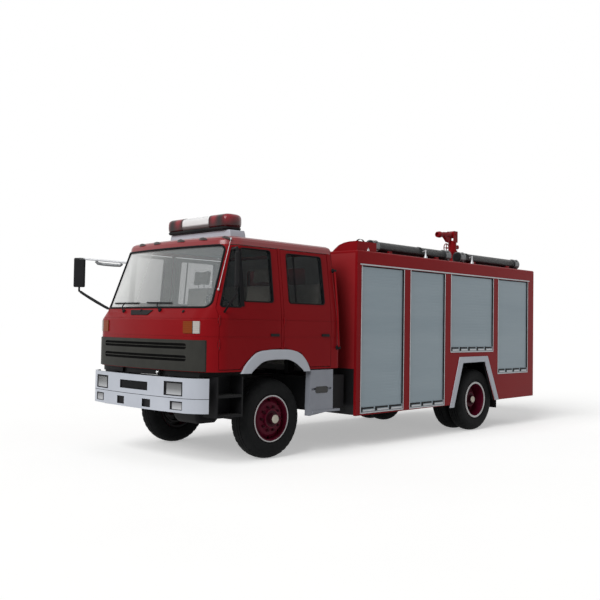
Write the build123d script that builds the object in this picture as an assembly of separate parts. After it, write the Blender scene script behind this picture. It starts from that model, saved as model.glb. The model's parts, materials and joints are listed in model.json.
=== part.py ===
from build123d import *
import math
import os

# Water tanker fire truck with a crew cab.
# Millimetres. X points forward, Y to the left, Z up. The ground is at zero height.

# Layout along the truck
WHEELBASE = 4500
FRONT_OVERHANG = 1330
REAR_OVERHANG = 1850
CAB_TO_BODY = 1396
BODY_TAIL = 1757
LENGTH = FRONT_OVERHANG + WHEELBASE + REAR_OVERHANG
FX = LENGTH / 2 - FRONT_OVERHANG
RX = FX - WHEELBASE
BODY_FRONT = FX - CAB_TO_BODY
BODY_REAR = RX - BODY_TAIL

# Wheels and axles
TYRE_R = 495
TYRE_W = 260
RIM_R = 287
FRONT_TRACK = 1890
REAR_OUTER = 1040
REAR_INNER = 740
KINGPIN_Y = 800
SPINDLE_R = 46
STEER_ARM = 220
# Play of a pin in its eye, on the radius
PLAY = 0.3

# Frame
RAIL_OUT = 435
RAIL_IN = 365
RAIL_LOW = 700
RAIL_TOP = 940
RAIL_SKIN = 8
WEB_IN = RAIL_OUT - RAIL_SKIN
SPRING_TOP = 650
SPRING_LOW = 580
SILL_TOP = 1000

# Cab
CAB_WALL = 50
CAB_LOW = 1100
CAB_EAVE = 2610
DOOR_TOP = CAB_EAVE - 10
CAB_ROOF = 2720
CAB_FLOOR = 1250
FLOOR_TOP = 1290
CAB_HALF = 1190
CAB_SPLIT = FX - 1020
PIVOT_X = FX + 1100
PIVOT_Z = 1060

# Body
BODY_HALF = 1235
WALL = 40
BODY_LOW = 445
BODY_TAIL_LOW = 480
ROOF_LOW = 2660
ROOF_TOP = 2700
DECK_LOW = 1000
DECK_TOP = 1040
LOCKER_IN = 600
SHUTTER_TOP = 2490
# Clearance between a wheel and the body beside it
WHEEL_GAP = 10
MIRROR_REACH = 1560

# Roof fittings
WALK_HALF = BODY_HALF - 535
HOSE_R = 76
HOSE_Y = BODY_HALF - 185
FAIRING_OUT = BODY_HALF - 30
LADDER_OUT = BODY_HALF - 105
LADDER_W = 340
LADDER_R = 18
MON_X = BODY_REAR + 730
RISER_RISE = 340
TRUNNION_RISE = 325
BARREL_BOSS = 66


def box(x0, x1, y0, y1, z0, z1):
    middle = Pos((x0 + x1) / 2, (y0 + y1) / 2, (z0 + z1) / 2)
    return middle * Box(abs(x1 - x0), abs(y1 - y0), abs(z1 - z0))


def bar(start, end, radius):
    a = Vector(*start)
    b = Vector(*end)
    return Plane(origin=(a + b) * 0.5, z_dir=b - a) * Cylinder(radius, (b - a).length)


def ball(centre, radius):
    return Pos(*centre) * Sphere(radius)


def side_prism(points, y0, y1):
    face = make_face(Polyline(*[(x, min(y0, y1), z) for x, z in points], close=True))
    return extrude(face, amount=abs(y1 - y0), dir=(0, 1, 0))


def front_prism(points, x0, x1):
    face = make_face(Polyline(*[(min(x0, x1), y, z) for y, z in points], close=True))
    return extrude(face, amount=abs(x1 - x0), dir=(1, 0, 0))


def other_side(shape):
    return mirror(shape, about=Plane.XZ)


def pair(shape):
    return shape + other_side(shape)


def ring(points, x, y, z):
    # Turns a profile of (distance along Y, radius) about the Y axis.
    face = make_face(Polyline(*[(r, d, 0) for d, r in points], close=True))
    return Pos(x, y, z) * revolve(face, axis=Axis.Y)


def turned(points, start, way):
    # Turns a profile of (distance, radius) about the line from start along way.
    face = make_face(Polyline(*[(r, 0, d) for d, r in points], close=True))
    return Plane(origin=start, z_dir=way) * revolve(face, axis=Axis.Z)


def from_axle(points):
    return [(FX + x, z) for x, z in points]


def plan_face(z, front, half, corner, crown, rear, rear_corner):
    phi = 0.0
    for _ in range(4):
        end_y = half - corner + corner * math.sin(phi)
        phi = 2 * math.atan(crown / end_y)
    end_x = front - crown
    centre_x = end_x - corner * math.cos(phi)
    centre_y = half - corner
    half_way = (math.pi / 2 + phi) / 2
    bend_x = centre_x + corner * math.cos(half_way)
    bend_y = centre_y + corner * math.sin(half_way)
    tail_x = rear + rear_corner * 0.29289
    tail_y = half - rear_corner * 0.29289
    tail_start = half - rear_corner
    edges = [
        Line((rear, -tail_start, z), (rear, tail_start, z)),
        ThreePointArc((rear, tail_start, z), (tail_x, tail_y, z), (rear + rear_corner, half, z)),
        Line((rear + rear_corner, half, z), (centre_x, half, z)),
        ThreePointArc((centre_x, half, z), (bend_x, bend_y, z), (end_x, end_y, z)),
        ThreePointArc((end_x, end_y, z), (front, 0, z), (end_x, -end_y, z)),
        ThreePointArc((end_x, -end_y, z), (bend_x, -bend_y, z), (centre_x, -half, z)),
        Line((centre_x, -half, z), (rear + rear_corner, -half, z)),
        ThreePointArc((rear + rear_corner, -half, z), (tail_x, -tail_y, z), (rear, -tail_start, z)),
    ]
    return make_face(edges)


# Cab outline by height: height, nose, half width, corner radius, rear
CAB_STATIONS = [
    (CAB_LOW, 1230, CAB_HALF, 330, -1130),
    (1700, 1230, CAB_HALF, 330, -1130),
    (1850, 1130, CAB_HALF - 10, 330, -1110),
    (CAB_EAVE, 852, CAB_HALF - 104, 257, -1070),
]


def cab_face(station, inset):
    z, nose, half, corner, rear = station
    rear_corner = 80 - min(inset, 50)
    return plan_face(z, FX + nose - inset, half - inset, corner - inset, 60, FX + rear + inset, rear_corner)


def cab_solid(inset):
    faces = [cab_face(station, inset) for station in CAB_STATIONS]
    low = extrude(faces[0], amount=CAB_STATIONS[1][0] - CAB_LOW, dir=(0, 0, 1))
    cowl = loft([faces[1], faces[2]], ruled=True)
    upper = loft([faces[2], faces[3]], ruled=True)
    return low + cowl + upper


parts = {}

# Wheels
TYRE_SIDE = [(97, RIM_R), (97, RIM_R + 8), (118, RIM_R + 24), (TYRE_W / 2, 385), (123, 446),
             (98, TYRE_R - 19), (52, TYRE_R)]
TYRE_PROFILE = TYRE_SIDE + [(-d, r) for d, r in reversed(TYRE_SIDE)]
BAND = [(-110, 262), (110, 262), (110, 291), (97.3, 291), (97.3, RIM_R - 0.3), (-97.3, RIM_R - 0.3),
        (-97.3, 291), (-110, 291)]
FRONT_DISC = [(10, 263), (30, 263), (75, 200), (86, 120), (120, 118), (122, 70), (165, 66), (175, 50),
              (175, 0), (96, 0), (96, SPINDLE_R + PLAY), (-40, SPINDLE_R + PLAY), (-40, 110), (66, 122),
              (58, 205)]
REAR_HUB = [(-100, SPINDLE_R + 4 + PLAY), (120, SPINDLE_R + 4 + PLAY), (120, 0), (205, 0), (208, 60),
            (175, 72), (172, 118), (20, 122), (14, 200), (60, 263), (44, 263), (0, 206), (-44, 263),
            (-60, 263), (-14, 200), (-20, 122), (-100, 118)]
HAND_HOLES = 8
HAND_HOLE_R = 21
HAND_HOLE_RING = 233


def hand_holes(x, y, reach):
    holes = None
    for count in range(HAND_HOLES):
        angle = 2 * math.pi * count / HAND_HOLES
        hx = x + HAND_HOLE_RING * math.cos(angle)
        hz = TYRE_R + HAND_HOLE_RING * math.sin(angle)
        hole = bar((hx, y - reach, hz), (hx, y + reach, hz), HAND_HOLE_R)
        holes = hole if holes is None else holes + hole
    return holes


for side, name in ((1, "left"), (-1, "right")):
    front_y = FRONT_TRACK / 2
    front_tyre = ring(TYRE_PROFILE, FX, front_y, TYRE_R)
    front_rim = ring(BAND, FX, front_y, TYRE_R) + ring(FRONT_DISC, FX, front_y, TYRE_R)
    front_rim -= hand_holes(FX, front_y, 100)
    twin_y = (REAR_OUTER + REAR_INNER) / 2
    rear_tyres = ring(TYRE_PROFILE, RX, REAR_OUTER, TYRE_R) + ring(TYRE_PROFILE, RX, REAR_INNER, TYRE_R)
    rear_rims = ring(BAND, RX, REAR_OUTER, TYRE_R) + ring(BAND, RX, REAR_INNER, TYRE_R)
    rear_rims = rear_rims + ring(REAR_HUB, RX, twin_y, TYRE_R) - hand_holes(RX, twin_y, 100)
    wheel_set = {
        "tyre_front": front_tyre,
        "rim_front": front_rim,
        "tyres_rear": rear_tyres,
        "rims_rear": rear_rims,
    }
    for part, shape in wheel_set.items():
        parts[part + "_" + name] = shape if side > 0 else other_side(shape)

# Steering knuckles, on king pins through the eyes of the front axle
HUB_Z = TYRE_R
BOSS_R = 45
EYE_LOW = HUB_Z - 60
EYE_TOP = HUB_Z + 60
LUG_LOW = HUB_Z - 130
LUG_TOP = HUB_Z + 130
ARM_TOP = LUG_LOW + 30
web_y = KINGPIN_Y + BOSS_R + 7
knuckle = Pos(FX, KINGPIN_Y, (EYE_TOP + 6 + LUG_TOP) / 2) * Cylinder(BOSS_R, LUG_TOP - EYE_TOP - 6)
knuckle += Pos(FX, KINGPIN_Y, (EYE_LOW - 6 + LUG_LOW) / 2) * Cylinder(BOSS_R, EYE_LOW - 6 - LUG_LOW)
knuckle += Pos(FX, KINGPIN_Y, HUB_Z) * Cylinder(19, LUG_TOP - LUG_LOW)
knuckle += box(FX - 60, FX + 60, web_y, web_y + 28, LUG_LOW, LUG_TOP)
knuckle += box(FX - 40, FX + 40, KINGPIN_Y, web_y + 10, EYE_TOP + 6, LUG_TOP)
knuckle += box(FX - 40, FX + 40, KINGPIN_Y, web_y + 10, LUG_LOW, EYE_LOW - 6)
knuckle += bar((FX, web_y + 20, HUB_Z), (FX, FRONT_TRACK / 2 + 90, HUB_Z), SPINDLE_R)
knuckle += box(FX - STEER_ARM, FX, KINGPIN_Y - 20, KINGPIN_Y + 20, LUG_LOW, ARM_TOP)
knuckle += Pos(FX - STEER_ARM, KINGPIN_Y, (LUG_LOW + ARM_TOP) / 2) * Cylinder(20, ARM_TOP - LUG_LOW)
knuckle += Pos(FX - STEER_ARM, KINGPIN_Y, ARM_TOP + 22) * Cylinder(10, 50)
parts["knuckle_left"] = knuckle
parts["knuckle_right"] = other_side(knuckle)

ROD_Z = ARM_TOP + 22
rod = bar((FX - STEER_ARM, -KINGPIN_Y, ROD_Z), (FX - STEER_ARM, KINGPIN_Y, ROD_Z), 14)
for side in (1, -1):
    rod += Pos(FX - STEER_ARM, side * KINGPIN_Y, ROD_Z) * Cylinder(24, 32)
    rod -= Pos(FX - STEER_ARM, side * KINGPIN_Y, ROD_Z) * Cylinder(10 + PLAY, 60)
parts["tie_rod"] = rod

# Axles
axle = box(FX - 38, FX + 38, -560, 560, HUB_Z - 75, HUB_Z + 5)
for side in (1, -1):
    axle += box(FX - 38, FX + 38, side * 550, side * (KINGPIN_Y - 30), HUB_Z - 55, HUB_Z + 45)
    axle += Pos(FX, side * KINGPIN_Y, HUB_Z) * Cylinder(BOSS_R, EYE_TOP - EYE_LOW)
    axle -= Pos(FX, side * KINGPIN_Y, HUB_Z) * Cylinder(19 + PLAY, 200)
    axle += box(FX - 70, FX + 70, side * RAIL_IN, side * RAIL_OUT, HUB_Z - 10, SPRING_LOW)
parts["front_axle"] = axle

# The propeller shaft runs on one line from gearbox to rear axle.
SHAFT_FRONT = Vector(FX - 1130, 0, 800)
SHAFT_REAR = Vector(RX + 270, 0, 545)
shaft_way = (SHAFT_REAR - SHAFT_FRONT).normalized()
shaft = bar(SHAFT_FRONT, SHAFT_REAR, 48)
parts["propeller_shaft"] = shaft + bar(SHAFT_FRONT, SHAFT_FRONT + shaft_way * 40, 70)
parts["propeller_shaft"] += bar(SHAFT_REAR - shaft_way * 40, SHAFT_REAR, 70)
rear_axle = bar((RX, -640, HUB_Z), (RX, 640, HUB_Z), 65)
rear_axle += bar((RX, -990, HUB_Z), (RX, 990, HUB_Z), SPINDLE_R + 4)
rear_axle += bar((RX, -130, HUB_Z), (RX, 130, HUB_Z), 185) + bar(SHAFT_REAR, SHAFT_REAR + shaft_way * 180, 90)
for side in (1, -1):
    rear_axle += box(RX - 70, RX + 70, side * RAIL_IN, side * RAIL_OUT, HUB_Z, SPRING_LOW)
parts["rear_axle"] = rear_axle

LEAF_HALVES = [200, 350, 500, 650]
leaf = (SPRING_TOP - SPRING_LOW) / len(LEAF_HALVES)
springs = None
for axle_x in (FX, RX):
    pack = None
    for count, reach in enumerate(LEAF_HALVES):
        low = SPRING_LOW + count * leaf
        piece = box(axle_x - reach, axle_x + reach, RAIL_IN + 2, RAIL_OUT - 2, low, low + leaf)
        pack = piece if pack is None else pack + piece
    springs = pair(pack) if springs is None else springs + pair(pack)
parts["leaf_springs"] = springs

# Front bumper, a bent skin with lamp pockets
BUMPER_LOW = 630
BUMPER_TOP = 1030
BUMPER_HALF = 1200
BUMPER_SKIN = 35
BUMPER_END = FX + 1085
NOSE = FX + FRONT_OVERHANG


def bumper_solid(inset, low, top):
    face = plan_face(low, NOSE - inset, BUMPER_HALF - inset, 360 - inset, 60, FX, 40)
    return extrude(face, amount=top - low, dir=(0, 0, 1))


bumper = bumper_solid(0, BUMPER_LOW, BUMPER_TOP) - bumper_solid(BUMPER_SKIN, BUMPER_LOW - 10, BUMPER_TOP + 10)
bumper = bumper & box(BUMPER_END, NOSE + 50, -2000, 2000, 0, 2000)
# Lamp pockets: inner Y, outer Y, low, top
POCKETS = [(590, 900, 820, 985), (700, 900, 660, 760)]
lamp_skin = bumper_solid(6, BUMPER_LOW, BUMPER_TOP) - bumper_solid(28, BUMPER_LOW, BUMPER_TOP)
lamps = None
for y0, y1, z0, z1 in POCKETS:
    pocket = box(FX + 900, NOSE + 50, y0, y1, z0, z1)
    cut = pocket - bumper_solid(28, 0, 2000)
    bumper = bumper - cut - other_side(cut)
    lens = pocket & lamp_skin
    lamps = pair(lens) if lamps is None else lamps + pair(lens)
bumper -= box(NOSE - 20, NOSE + 20, -290, 290, 853, 955)
for side in (1, -1):
    bumper -= box(NOSE - 24, NOSE + 20, side * 190, side * 350, 657, 752)
SPLIT_Z = 796
bumper -= bumper_solid(-5, SPLIT_Z - 3, SPLIT_Z + 3) - bumper_solid(6, SPLIT_Z - 3, SPLIT_Z + 3)
TAIL_LAMP_X = BODY_REAR - 14
lamps += pair(box(TAIL_LAMP_X, BODY_REAR, BODY_HALF - 475, BODY_HALF - 115, 600, 720))
parts["bumper"] = bumper
parts["road_lamps"] = lamps

# Ladder frame with spring hangers, body sills and cab pivots
rails = None
for side in (1, -1):
    rail = box(BODY_REAR + 110, NOSE - 25, side * RAIL_IN, side * RAIL_OUT, RAIL_LOW, RAIL_TOP)
    rail -= box(BODY_REAR + 122, NOSE, side * (RAIL_IN - 10), side * WEB_IN, RAIL_LOW + RAIL_SKIN,
                RAIL_TOP - RAIL_SKIN)
    rail += box(BODY_REAR + 110, BODY_FRONT - 60, side * RAIL_IN, side * RAIL_OUT, RAIL_TOP, SILL_TOP)
    for axle_x in (FX, RX):
        for end in (1, -1):
            hanger = axle_x + end * 610
            rail += box(hanger - 40, hanger + 40, side * RAIL_IN, side * RAIL_OUT, SPRING_TOP, RAIL_LOW)
    rail += box(PIVOT_X - 55, PIVOT_X + 55, side * RAIL_IN, side * RAIL_OUT, RAIL_TOP, PIVOT_Z + 40)
    rail += bar((PIVOT_X, side * RAIL_OUT, PIVOT_Z), (PIVOT_X, side * (RAIL_OUT + 70), PIVOT_Z), 20)
    rail += box(FX - 1010, FX - 890, side * RAIL_IN, side * RAIL_OUT, RAIL_TOP, CAB_FLOOR - 6)
    rails = rail if rails is None else rails + rail
for cross_x in (FX + 1000, FX - 1250, FX - 2400, RX + 640, RX - 640, BODY_REAR + 160):
    rails += box(cross_x - 40, cross_x + 40, -WEB_IN, WEB_IN, RAIL_TOP - 80, RAIL_TOP - 10)
parts["frame_rails"] = rails - bumper

engine = box(FX - 350, FX + 750, -300, 300, 620, 1400) + box(FX - 1000, FX - 350, -200, 200, 620, 960)
engine += bar(SHAFT_FRONT - shaft_way * 180, SHAFT_FRONT, 75)
for mount_x in (FX + 560, FX - 860):
    engine += box(mount_x - 40, mount_x + 40, -WEB_IN, WEB_IN, 750, 800)
parts["engine_gearbox"] = engine

tanks = fillet(box(FX - 1300, FX - 620, -1100, -RAIL_OUT, 540, 1000).edges().filter_by(Axis.X), 40)
tanks += box(FX - 1300, FX - 620, RAIL_OUT, 1100, 560, 1000)
parts["side_tanks"] = tanks

step = box(FX + 580, FX + 980, 930, 1170, 570, 600) + box(FX + 580, FX + 980, 930, 1170, 800, 830)
for x0, x1 in ((580, 600), (960, 980)):
    step += box(FX + x0, FX + x1, 930, 1170, 570, 1040)
step += box(FX + 580, FX + 980, 930, 950, 570, 1040) + box(FX + 700, FX + 800, RAIL_OUT, 940, 720, 800)
parts["cab_steps"] = pair(step)

fender = side_prism(from_axle([(-545, 500), (-990, 549), (-985, 1085), (-560, 1085)]), 1100, 1185)
fender += box(FX - 1120, FX - 600, 1100, 1195, 535, 565)
fender -= box(FX - 960, FX - 580, 1165, 1200, 825, 855)
parts["fender_panels"] = pair(fender)

# Cab shell, parted into front, sides, back, floor and roof
outer = cab_solid(0)
inner = cab_solid(CAB_WALL)
shell = outer - inner
# Pressed lines round the cab: height
PRESSED_LINES = (1508, 1716)
for line_z in PRESSED_LINES:
    band = box(FX - 1400, FX + 1400, -1400, 1400, line_z - 3, line_z + 3)
    shell -= (cab_solid(-5) & band) - cab_solid(4)
PILLAR_LOW_X = 965
PILLAR_TOP_X = 710
PILLAR_BEND = 1845
PILLAR = [(PILLAR_LOW_X, CAB_LOW), (PILLAR_LOW_X, PILLAR_BEND), (PILLAR_TOP_X, CAB_EAVE)]
front_zone = side_prism(from_axle(PILLAR + [(1600, CAB_EAVE), (1600, CAB_LOW)]), -1300, 1300)
side_zone = side_prism(from_axle([(-1020, CAB_LOW)] + PILLAR + [(-1020, CAB_EAVE)]), -1300, 1300)
screen = front_prism([(-1050, 1853), (1050, 1853), (990, CAB_EAVE - 20), (-990, CAB_EAVE - 20)],
                     FX + 500, FX + 1400)
screen = fillet(screen.edges().filter_by(Axis.X), 70)
back_window = front_prism([(-600, 1950), (600, 1950), (600, 2450), (-600, 2450)], FX - 1300, FX - 1000)
back_window = fillet(back_window.edges().filter_by(Axis.X), 50)
parts["cab_front"] = (shell & front_zone) - screen
parts["cab_back"] = (shell & box(FX - 1400, CAB_SPLIT, -1300, 1300, CAB_LOW, CAB_EAVE)) - back_window
pane = cab_solid(14) - cab_solid(22)
parts["cab_glass"] = (pane & screen & front_zone) + (pane & back_window)

# Door hinge lines: X, Y
HINGE_FRONT = (FX + 961.5, CAB_HALF - 21)
HINGE_REAR = (FX - 64.5, CAB_HALF + 1)
HINGE_HEIGHTS = (1420, 1700)

TUNNEL_HALF = 360
floor = inner & box(FX - 1400, FX + 1400, -1300, 1300, CAB_FLOOR, FLOOR_TOP)
floor += box(FX - 450, FX + 900, -TUNNEL_HALF, TUNNEL_HALF, FLOOR_TOP, 1500)
floor -= box(FX - 410, FX + 860, 40 - TUNNEL_HALF, TUNNEL_HALF - 40, CAB_FLOOR - 10, 1460)
for side in (1, -1):
    lug = box(PIVOT_X - 45, PIVOT_X + 45, side * (RAIL_OUT + 8), side * (RAIL_OUT + 60), PIVOT_Z - 45,
              CAB_FLOOR)
    floor += lug - bar((PIVOT_X, side * 300, PIVOT_Z), (PIVOT_X, side * 700, PIVOT_Z), 20 + PLAY)
for side in (1, -1):
    floor -= Pos(HINGE_FRONT[0], side * HINGE_FRONT[1], CAB_FLOOR) * Cylinder(CAB_WALL + 9, 200)
parts["cab_floor"] = floor

eave = CAB_STATIONS[-1]
# Roof edge: share of the rise, inset
ROOF_EDGE = [(0, 0), (0.45, 8), (0.72, 26), (0.9, 62), (1, 130)]
ROOF_RISE = CAB_ROOF - CAB_EAVE
roof_faces = [cab_face((CAB_EAVE + share * ROOF_RISE,) + eave[1:], inset) for share, inset in ROOF_EDGE]
roof = loft(roof_faces, ruled=True)
roof -= extrude(cab_face(eave, CAB_WALL), amount=ROOF_RISE - 60, dir=(0, 0, 1))
parts["cab_roof"] = roof

# Doors: outline, windows, hinge X
FRONT_DOOR = [(655, 1130), (958, 1130), (958, 1838), (704, DOOR_TOP), (-16, DOOR_TOP), (-16, 1372),
              (400, 1337)]
FRONT_HOLE = [(650, 1122), (1100, 1122), (1100, DOOR_TOP + 35), (-23, DOOR_TOP + 35), (-23, 1364),
              (397, 1329)]
REAR_DOOR = [(-68, 1372), (-68, DOOR_TOP), (-930, DOOR_TOP), (-930, 1130), (-550, 1130), (-370, 1312)]
REAR_HOLE = [(-61, 1364), (-61, DOOR_TOP + 35), (-937, DOOR_TOP + 35), (-937, 1122), (-546, 1122),
             (-366, 1304)]
# Windows: corner radius, outline
PANE_TOP = DOOR_TOP - 34
FRONT_PANES = [
    (18, [(640, 1862), (916, 1862), (690, PANE_TOP), (640, PANE_TOP)]),
    (30, [(112, 1936), (590, 1936), (590, PANE_TOP), (112, PANE_TOP)]),
]
REAR_PANES = [(35, [(-168, 1936), (-168, PANE_TOP - 14), (-800, PANE_TOP - 14), (-815, 1936)])]
ARCH_OUT = [(643, 1075), (560, 1190), (393, 1317), (200, 1350), (-8, 1355), (-200, 1345), (-362, 1297),
            (-480, 1190), (-545, 1075)]
ARCH_IN = [(460, 1075), (440, 1110), (300, 1215), (150, 1240), (-20, 1243), (-160, 1235), (-290, 1187),
           (-390, 1110), (-410, 1075)]
arch_hole = side_prism(from_axle([(470, CAB_LOW - 10)] + ARCH_IN[1:-1] + [(-400, CAB_LOW - 10)]), 900, 1300)
sides = shell & side_zone & box(FX - 1400, FX + 1400, 0, 1300, 0, 3000)
sides -= arch_hole
for hole in (FRONT_HOLE, REAR_HOLE):
    sides -= side_prism(from_axle(hole), 900, 1300)
parts["cab_sides"] = pair(sides)

trim = side_prism(from_axle(ARCH_OUT + ARCH_IN[::-1]), CAB_HALF, CAB_HALF + 15)
parts["front_arch_trims"] = pair(trim)


def upright(hinge, low, high, radius):
    return Pos(hinge[0], hinge[1], (low + high) / 2) * Cylinder(radius, high - low)


for name, outline, panes, hinge, rear_x, post in (
    ("front", FRONT_DOOR, FRONT_PANES, HINGE_FRONT, -16, "cab_front"),
    ("rear", REAR_DOOR, REAR_PANES, HINGE_REAR, -930, "cab_sides"),
):
    reach = hinge[0] - (FX + rear_x)
    panel = shell & side_prism(from_axle(outline), 900, 1300)
    panel = panel & upright(hinge, 1000, 2800, reach)
    for height in HINGE_HEIGHTS:
        parts[post] -= pair(upright(hinge, height - 36, height + 36, 17))
        parts[post] += pair(upright(hinge, height - 60, height + 60, 6))
        panel -= upright(hinge, height + 30, height + 66, 12) + upright(hinge, height - 66, height - 30, 12)
        panel += upright(hinge, height - 30, height + 30, 11)
        panel -= upright(hinge, height - 60, height + 60, 6 + PLAY)
    glass = None
    for corner, points in panes:
        hole = side_prism(from_axle(points), 900, 1300)
        hole = fillet(hole.edges().filter_by(Axis.Y), corner)
        panel -= hole
        sheet = pane & hole
        glass = sheet if glass is None else glass + sheet
    handle_x = FX + rear_x + 110
    panel += box(handle_x - 70, handle_x + 70, CAB_HALF - 5, CAB_HALF + 14, 1515, 1548)
    for side in ("left", "right"):
        parts["door_" + name + "_" + side] = panel if side == "left" else other_side(panel)
        parts["glass_" + name + "_" + side] = glass if side == "left" else other_side(glass)

# Grille panel and turn lamps, skins that follow the nose
nose_zone = box(FX + 700, FX + 1500, -1300, 1300, 0, 3000)
grille = (cab_solid(-14) - cab_solid(-0.2)) & nose_zone & box(FX + 700, FX + 1500, -1090, 1090, 1107, 1467)
# Slots: low, top
SLOT_HALF = 850
FIN = 8
for low, top in ((1218, 1286), (1358, 1426)):
    slot = box(FX + 900, FX + 1500, -SLOT_HALF, SLOT_HALF, low, top)
    slot = fillet(slot.edges().filter_by(Axis.X), 30)
    slot -= box(FX + 900, FX + 1500, -SLOT_HALF, SLOT_HALF, (low + top - FIN) / 2, (low + top + FIN) / 2)
    grille -= slot - cab_solid(-4)
parts["grille"] = grille
turn = (cab_solid(-10) - cab_solid(-0.2)) & nose_zone & box(FX + 700, FX + 1500, 790, 1025, 1543, 1685)
parts["cab_lamps"] = pair(turn)

# Light bar on the cab roof: a tray with three lenses, held by a bracket plate and two feet
BAR_X = FX + 280
BAR_HALF = 640
BAR_DEEP = 150
BAR_LOW = CAB_ROOF + 150
TRAY_TOP = BAR_LOW + 40
BAR_TOP = BAR_LOW + 190
DOME_LEN = 430
LENS_GAP = 8
tray = box(BAR_X - BAR_DEEP, BAR_X + BAR_DEEP, -BAR_HALF, BAR_HALF, BAR_LOW, TRAY_TOP)
tray = fillet(tray.edges().filter_by(Axis.Z), 70)
# Lenses: right end, left end, inset
for y0, y1, inset in (
    (-BAR_HALF, DOME_LEN - BAR_HALF, 0),
    (DOME_LEN - BAR_HALF + LENS_GAP, BAR_HALF - DOME_LEN - LENS_GAP, 8),
    (BAR_HALF - DOME_LEN, BAR_HALF, 0),
):
    lens = box(BAR_X - BAR_DEEP + inset, BAR_X + BAR_DEEP - inset, y0, y1, TRAY_TOP, BAR_TOP - inset)
    end_edges = [edge for edge in lens.edges().filter_by(Axis.Z) if abs(edge.center().Y) > BAR_HALF - 1]
    if end_edges:
        lens = fillet(end_edges, 70)
    lens = fillet(lens.faces().sort_by(Axis.Z)[-1].edges(), 40)
    tray += lens
tray += box(BAR_X - 130, BAR_X - 50, -BAR_HALF - 50, BAR_HALF + 50, CAB_ROOF, BAR_LOW)
tray += pair(box(BAR_X + 50, BAR_X + 110, 420, 500, CAB_ROOF, BAR_LOW))
parts["light_bar"] = tray

# Cab inside
seats = None
for y0, y1 in ((390, 860), (-860, -390)):
    seat = box(FX - 130, FX + 230, y0 + 30, y1 - 30, FLOOR_TOP, 1540)
    seat += box(FX - 180, FX + 290, y0, y1, 1540, 1680)
    seat += side_prism(from_axle([(-180, 1640), (-60, 1640), (-150, 2180), (-250, 2180)]), y0, y1)
    head = from_axle([(-160, 2180), (-235, 2180), (-265, 2400), (-190, 2400)])
    seat += side_prism(head, y0 + 100, y1 - 100)
    seats = seat if seats is None else seats + seat
seats += box(FX - 1000, FX - 660, -950, 950, FLOOR_TOP, 1580)
seats += box(FX - 1010, FX - 560, -1000, 1000, 1580, 1710)
seats += box(FX - 1010, FX - 900, -1000, 1000, 1710, 2230)
parts["cab_seats"] = seats
DASH = [(690, 1560), (880, 1500), (930, 1500), (930, 1830), (760, 1850), (690, 1780)]
dash = side_prism(from_axle(DASH), -930, 930)
dash += box(FX + 740, FX + 880, -200, 200, 1500, 1560)
parts["dashboard"] = dash
WHEEL_MID = Vector(FX + 470, 620, 1870)
column_way = Vector(0.5, 0, -0.55).normalized()
wheel_plane = Plane(origin=WHEEL_MID, x_dir=(0, 1, 0), z_dir=column_way)
steering = wheel_plane * Torus(215, 14)
steering += bar(WHEEL_MID, WHEEL_MID + column_way * 385, 26)
steering += wheel_plane * Box(430, 34, 14) + wheel_plane * Box(34, 430, 14)
parts["steering_wheel"] = steering - dash

# Mirrors on bent tube arms
right_top = (FX + 770, -1010, 2470)
right_out = (FX + 1215, 60 - MIRROR_REACH, 2520)
right_low = (FX + 1215, 60 - MIRROR_REACH, 2080)
right_foot = (FX + 985, -1085, 1830)
arms = bar(right_top, right_out, 13) + bar(right_out, right_low, 13) + bar(right_low, right_foot, 13)
arms += ball(right_out, 13) + ball(right_low, 13)
MIRROR_HEAD = fillet(Box(46, 156, 400).edges(), 18)
head = Pos(FX + 1215, 60 - MIRROR_REACH, 2330) * Rot(0, 0, 40) * MIRROR_HEAD
parts["mirror_right"] = arms + head - outer
left_top = (FX + 700, 1060, 2545)
left_out = (FX + 1000, MIRROR_REACH - 60, 2520)
left_low = (FX + 1000, MIRROR_REACH - 60, 2000)
left_foot = (FX + 880, 1150, 1790)
arms = bar(left_top, left_out, 13) + bar(left_out, left_low, 13) + bar(left_low, left_foot, 13)
arms += ball(left_out, 13) + ball(left_low, 13)
head = Pos(FX + 1000, MIRROR_REACH - 60, 2270) * Rot(0, 0, -40) * MIRROR_HEAD
parts["mirror_left"] = arms + head - outer

# Equipment body. Shutters: front X, rear X, low edge
POST = 170
FIRST = BODY_FRONT - 104
SECOND_END = RX + 1020
FIRST_SPAN = (FIRST - SECOND_END - POST) * 0.52
SHUTTERS = [
    (FIRST, FIRST - FIRST_SPAN, 485),
    (FIRST - FIRST_SPAN - POST, SECOND_END, 485),
    (RX + 840, RX - 390, 1290),
    (RX - 560, BODY_REAR + 217, 915),
]
WHEEL_HOLE = [(RX + 770, 380), (RX + 511, 1105), (RX - 140, 1116), (RX - 490, 380)]
WHEEL_TRIM = [(RX + 862, 420), (RX + 597, 1201), (RX - 215, 1205), (RX - 575, 470),
              (RX - 470, 470), (RX - 140, 1116), (RX + 511, 1105), (RX + 756, 420)]
# A curtain is a row of slats over a bottom bar. Its section is (depth behind the face, height).
SLAT = 46
SLAT_GROOVE = 1.2
CURTAIN_THICK = 18
BAR_H = 70
BAR_PROUD = 8


def curtain_section(low, top):
    points = [(CURTAIN_THICK, low), (-BAR_PROUD, low), (-BAR_PROUD, low + BAR_H), (0, low + BAR_H)]
    count = int((top - low - BAR_H) / SLAT)
    for number in range(1, count):
        z = top - (count - number) * SLAT
        points += [(0, z - 4), (SLAT_GROOVE, z - 1), (SLAT_GROOVE, z + 1), (0, z + 4)]
    return points + [(0, top), (CURTAIN_THICK, top)]


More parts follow.
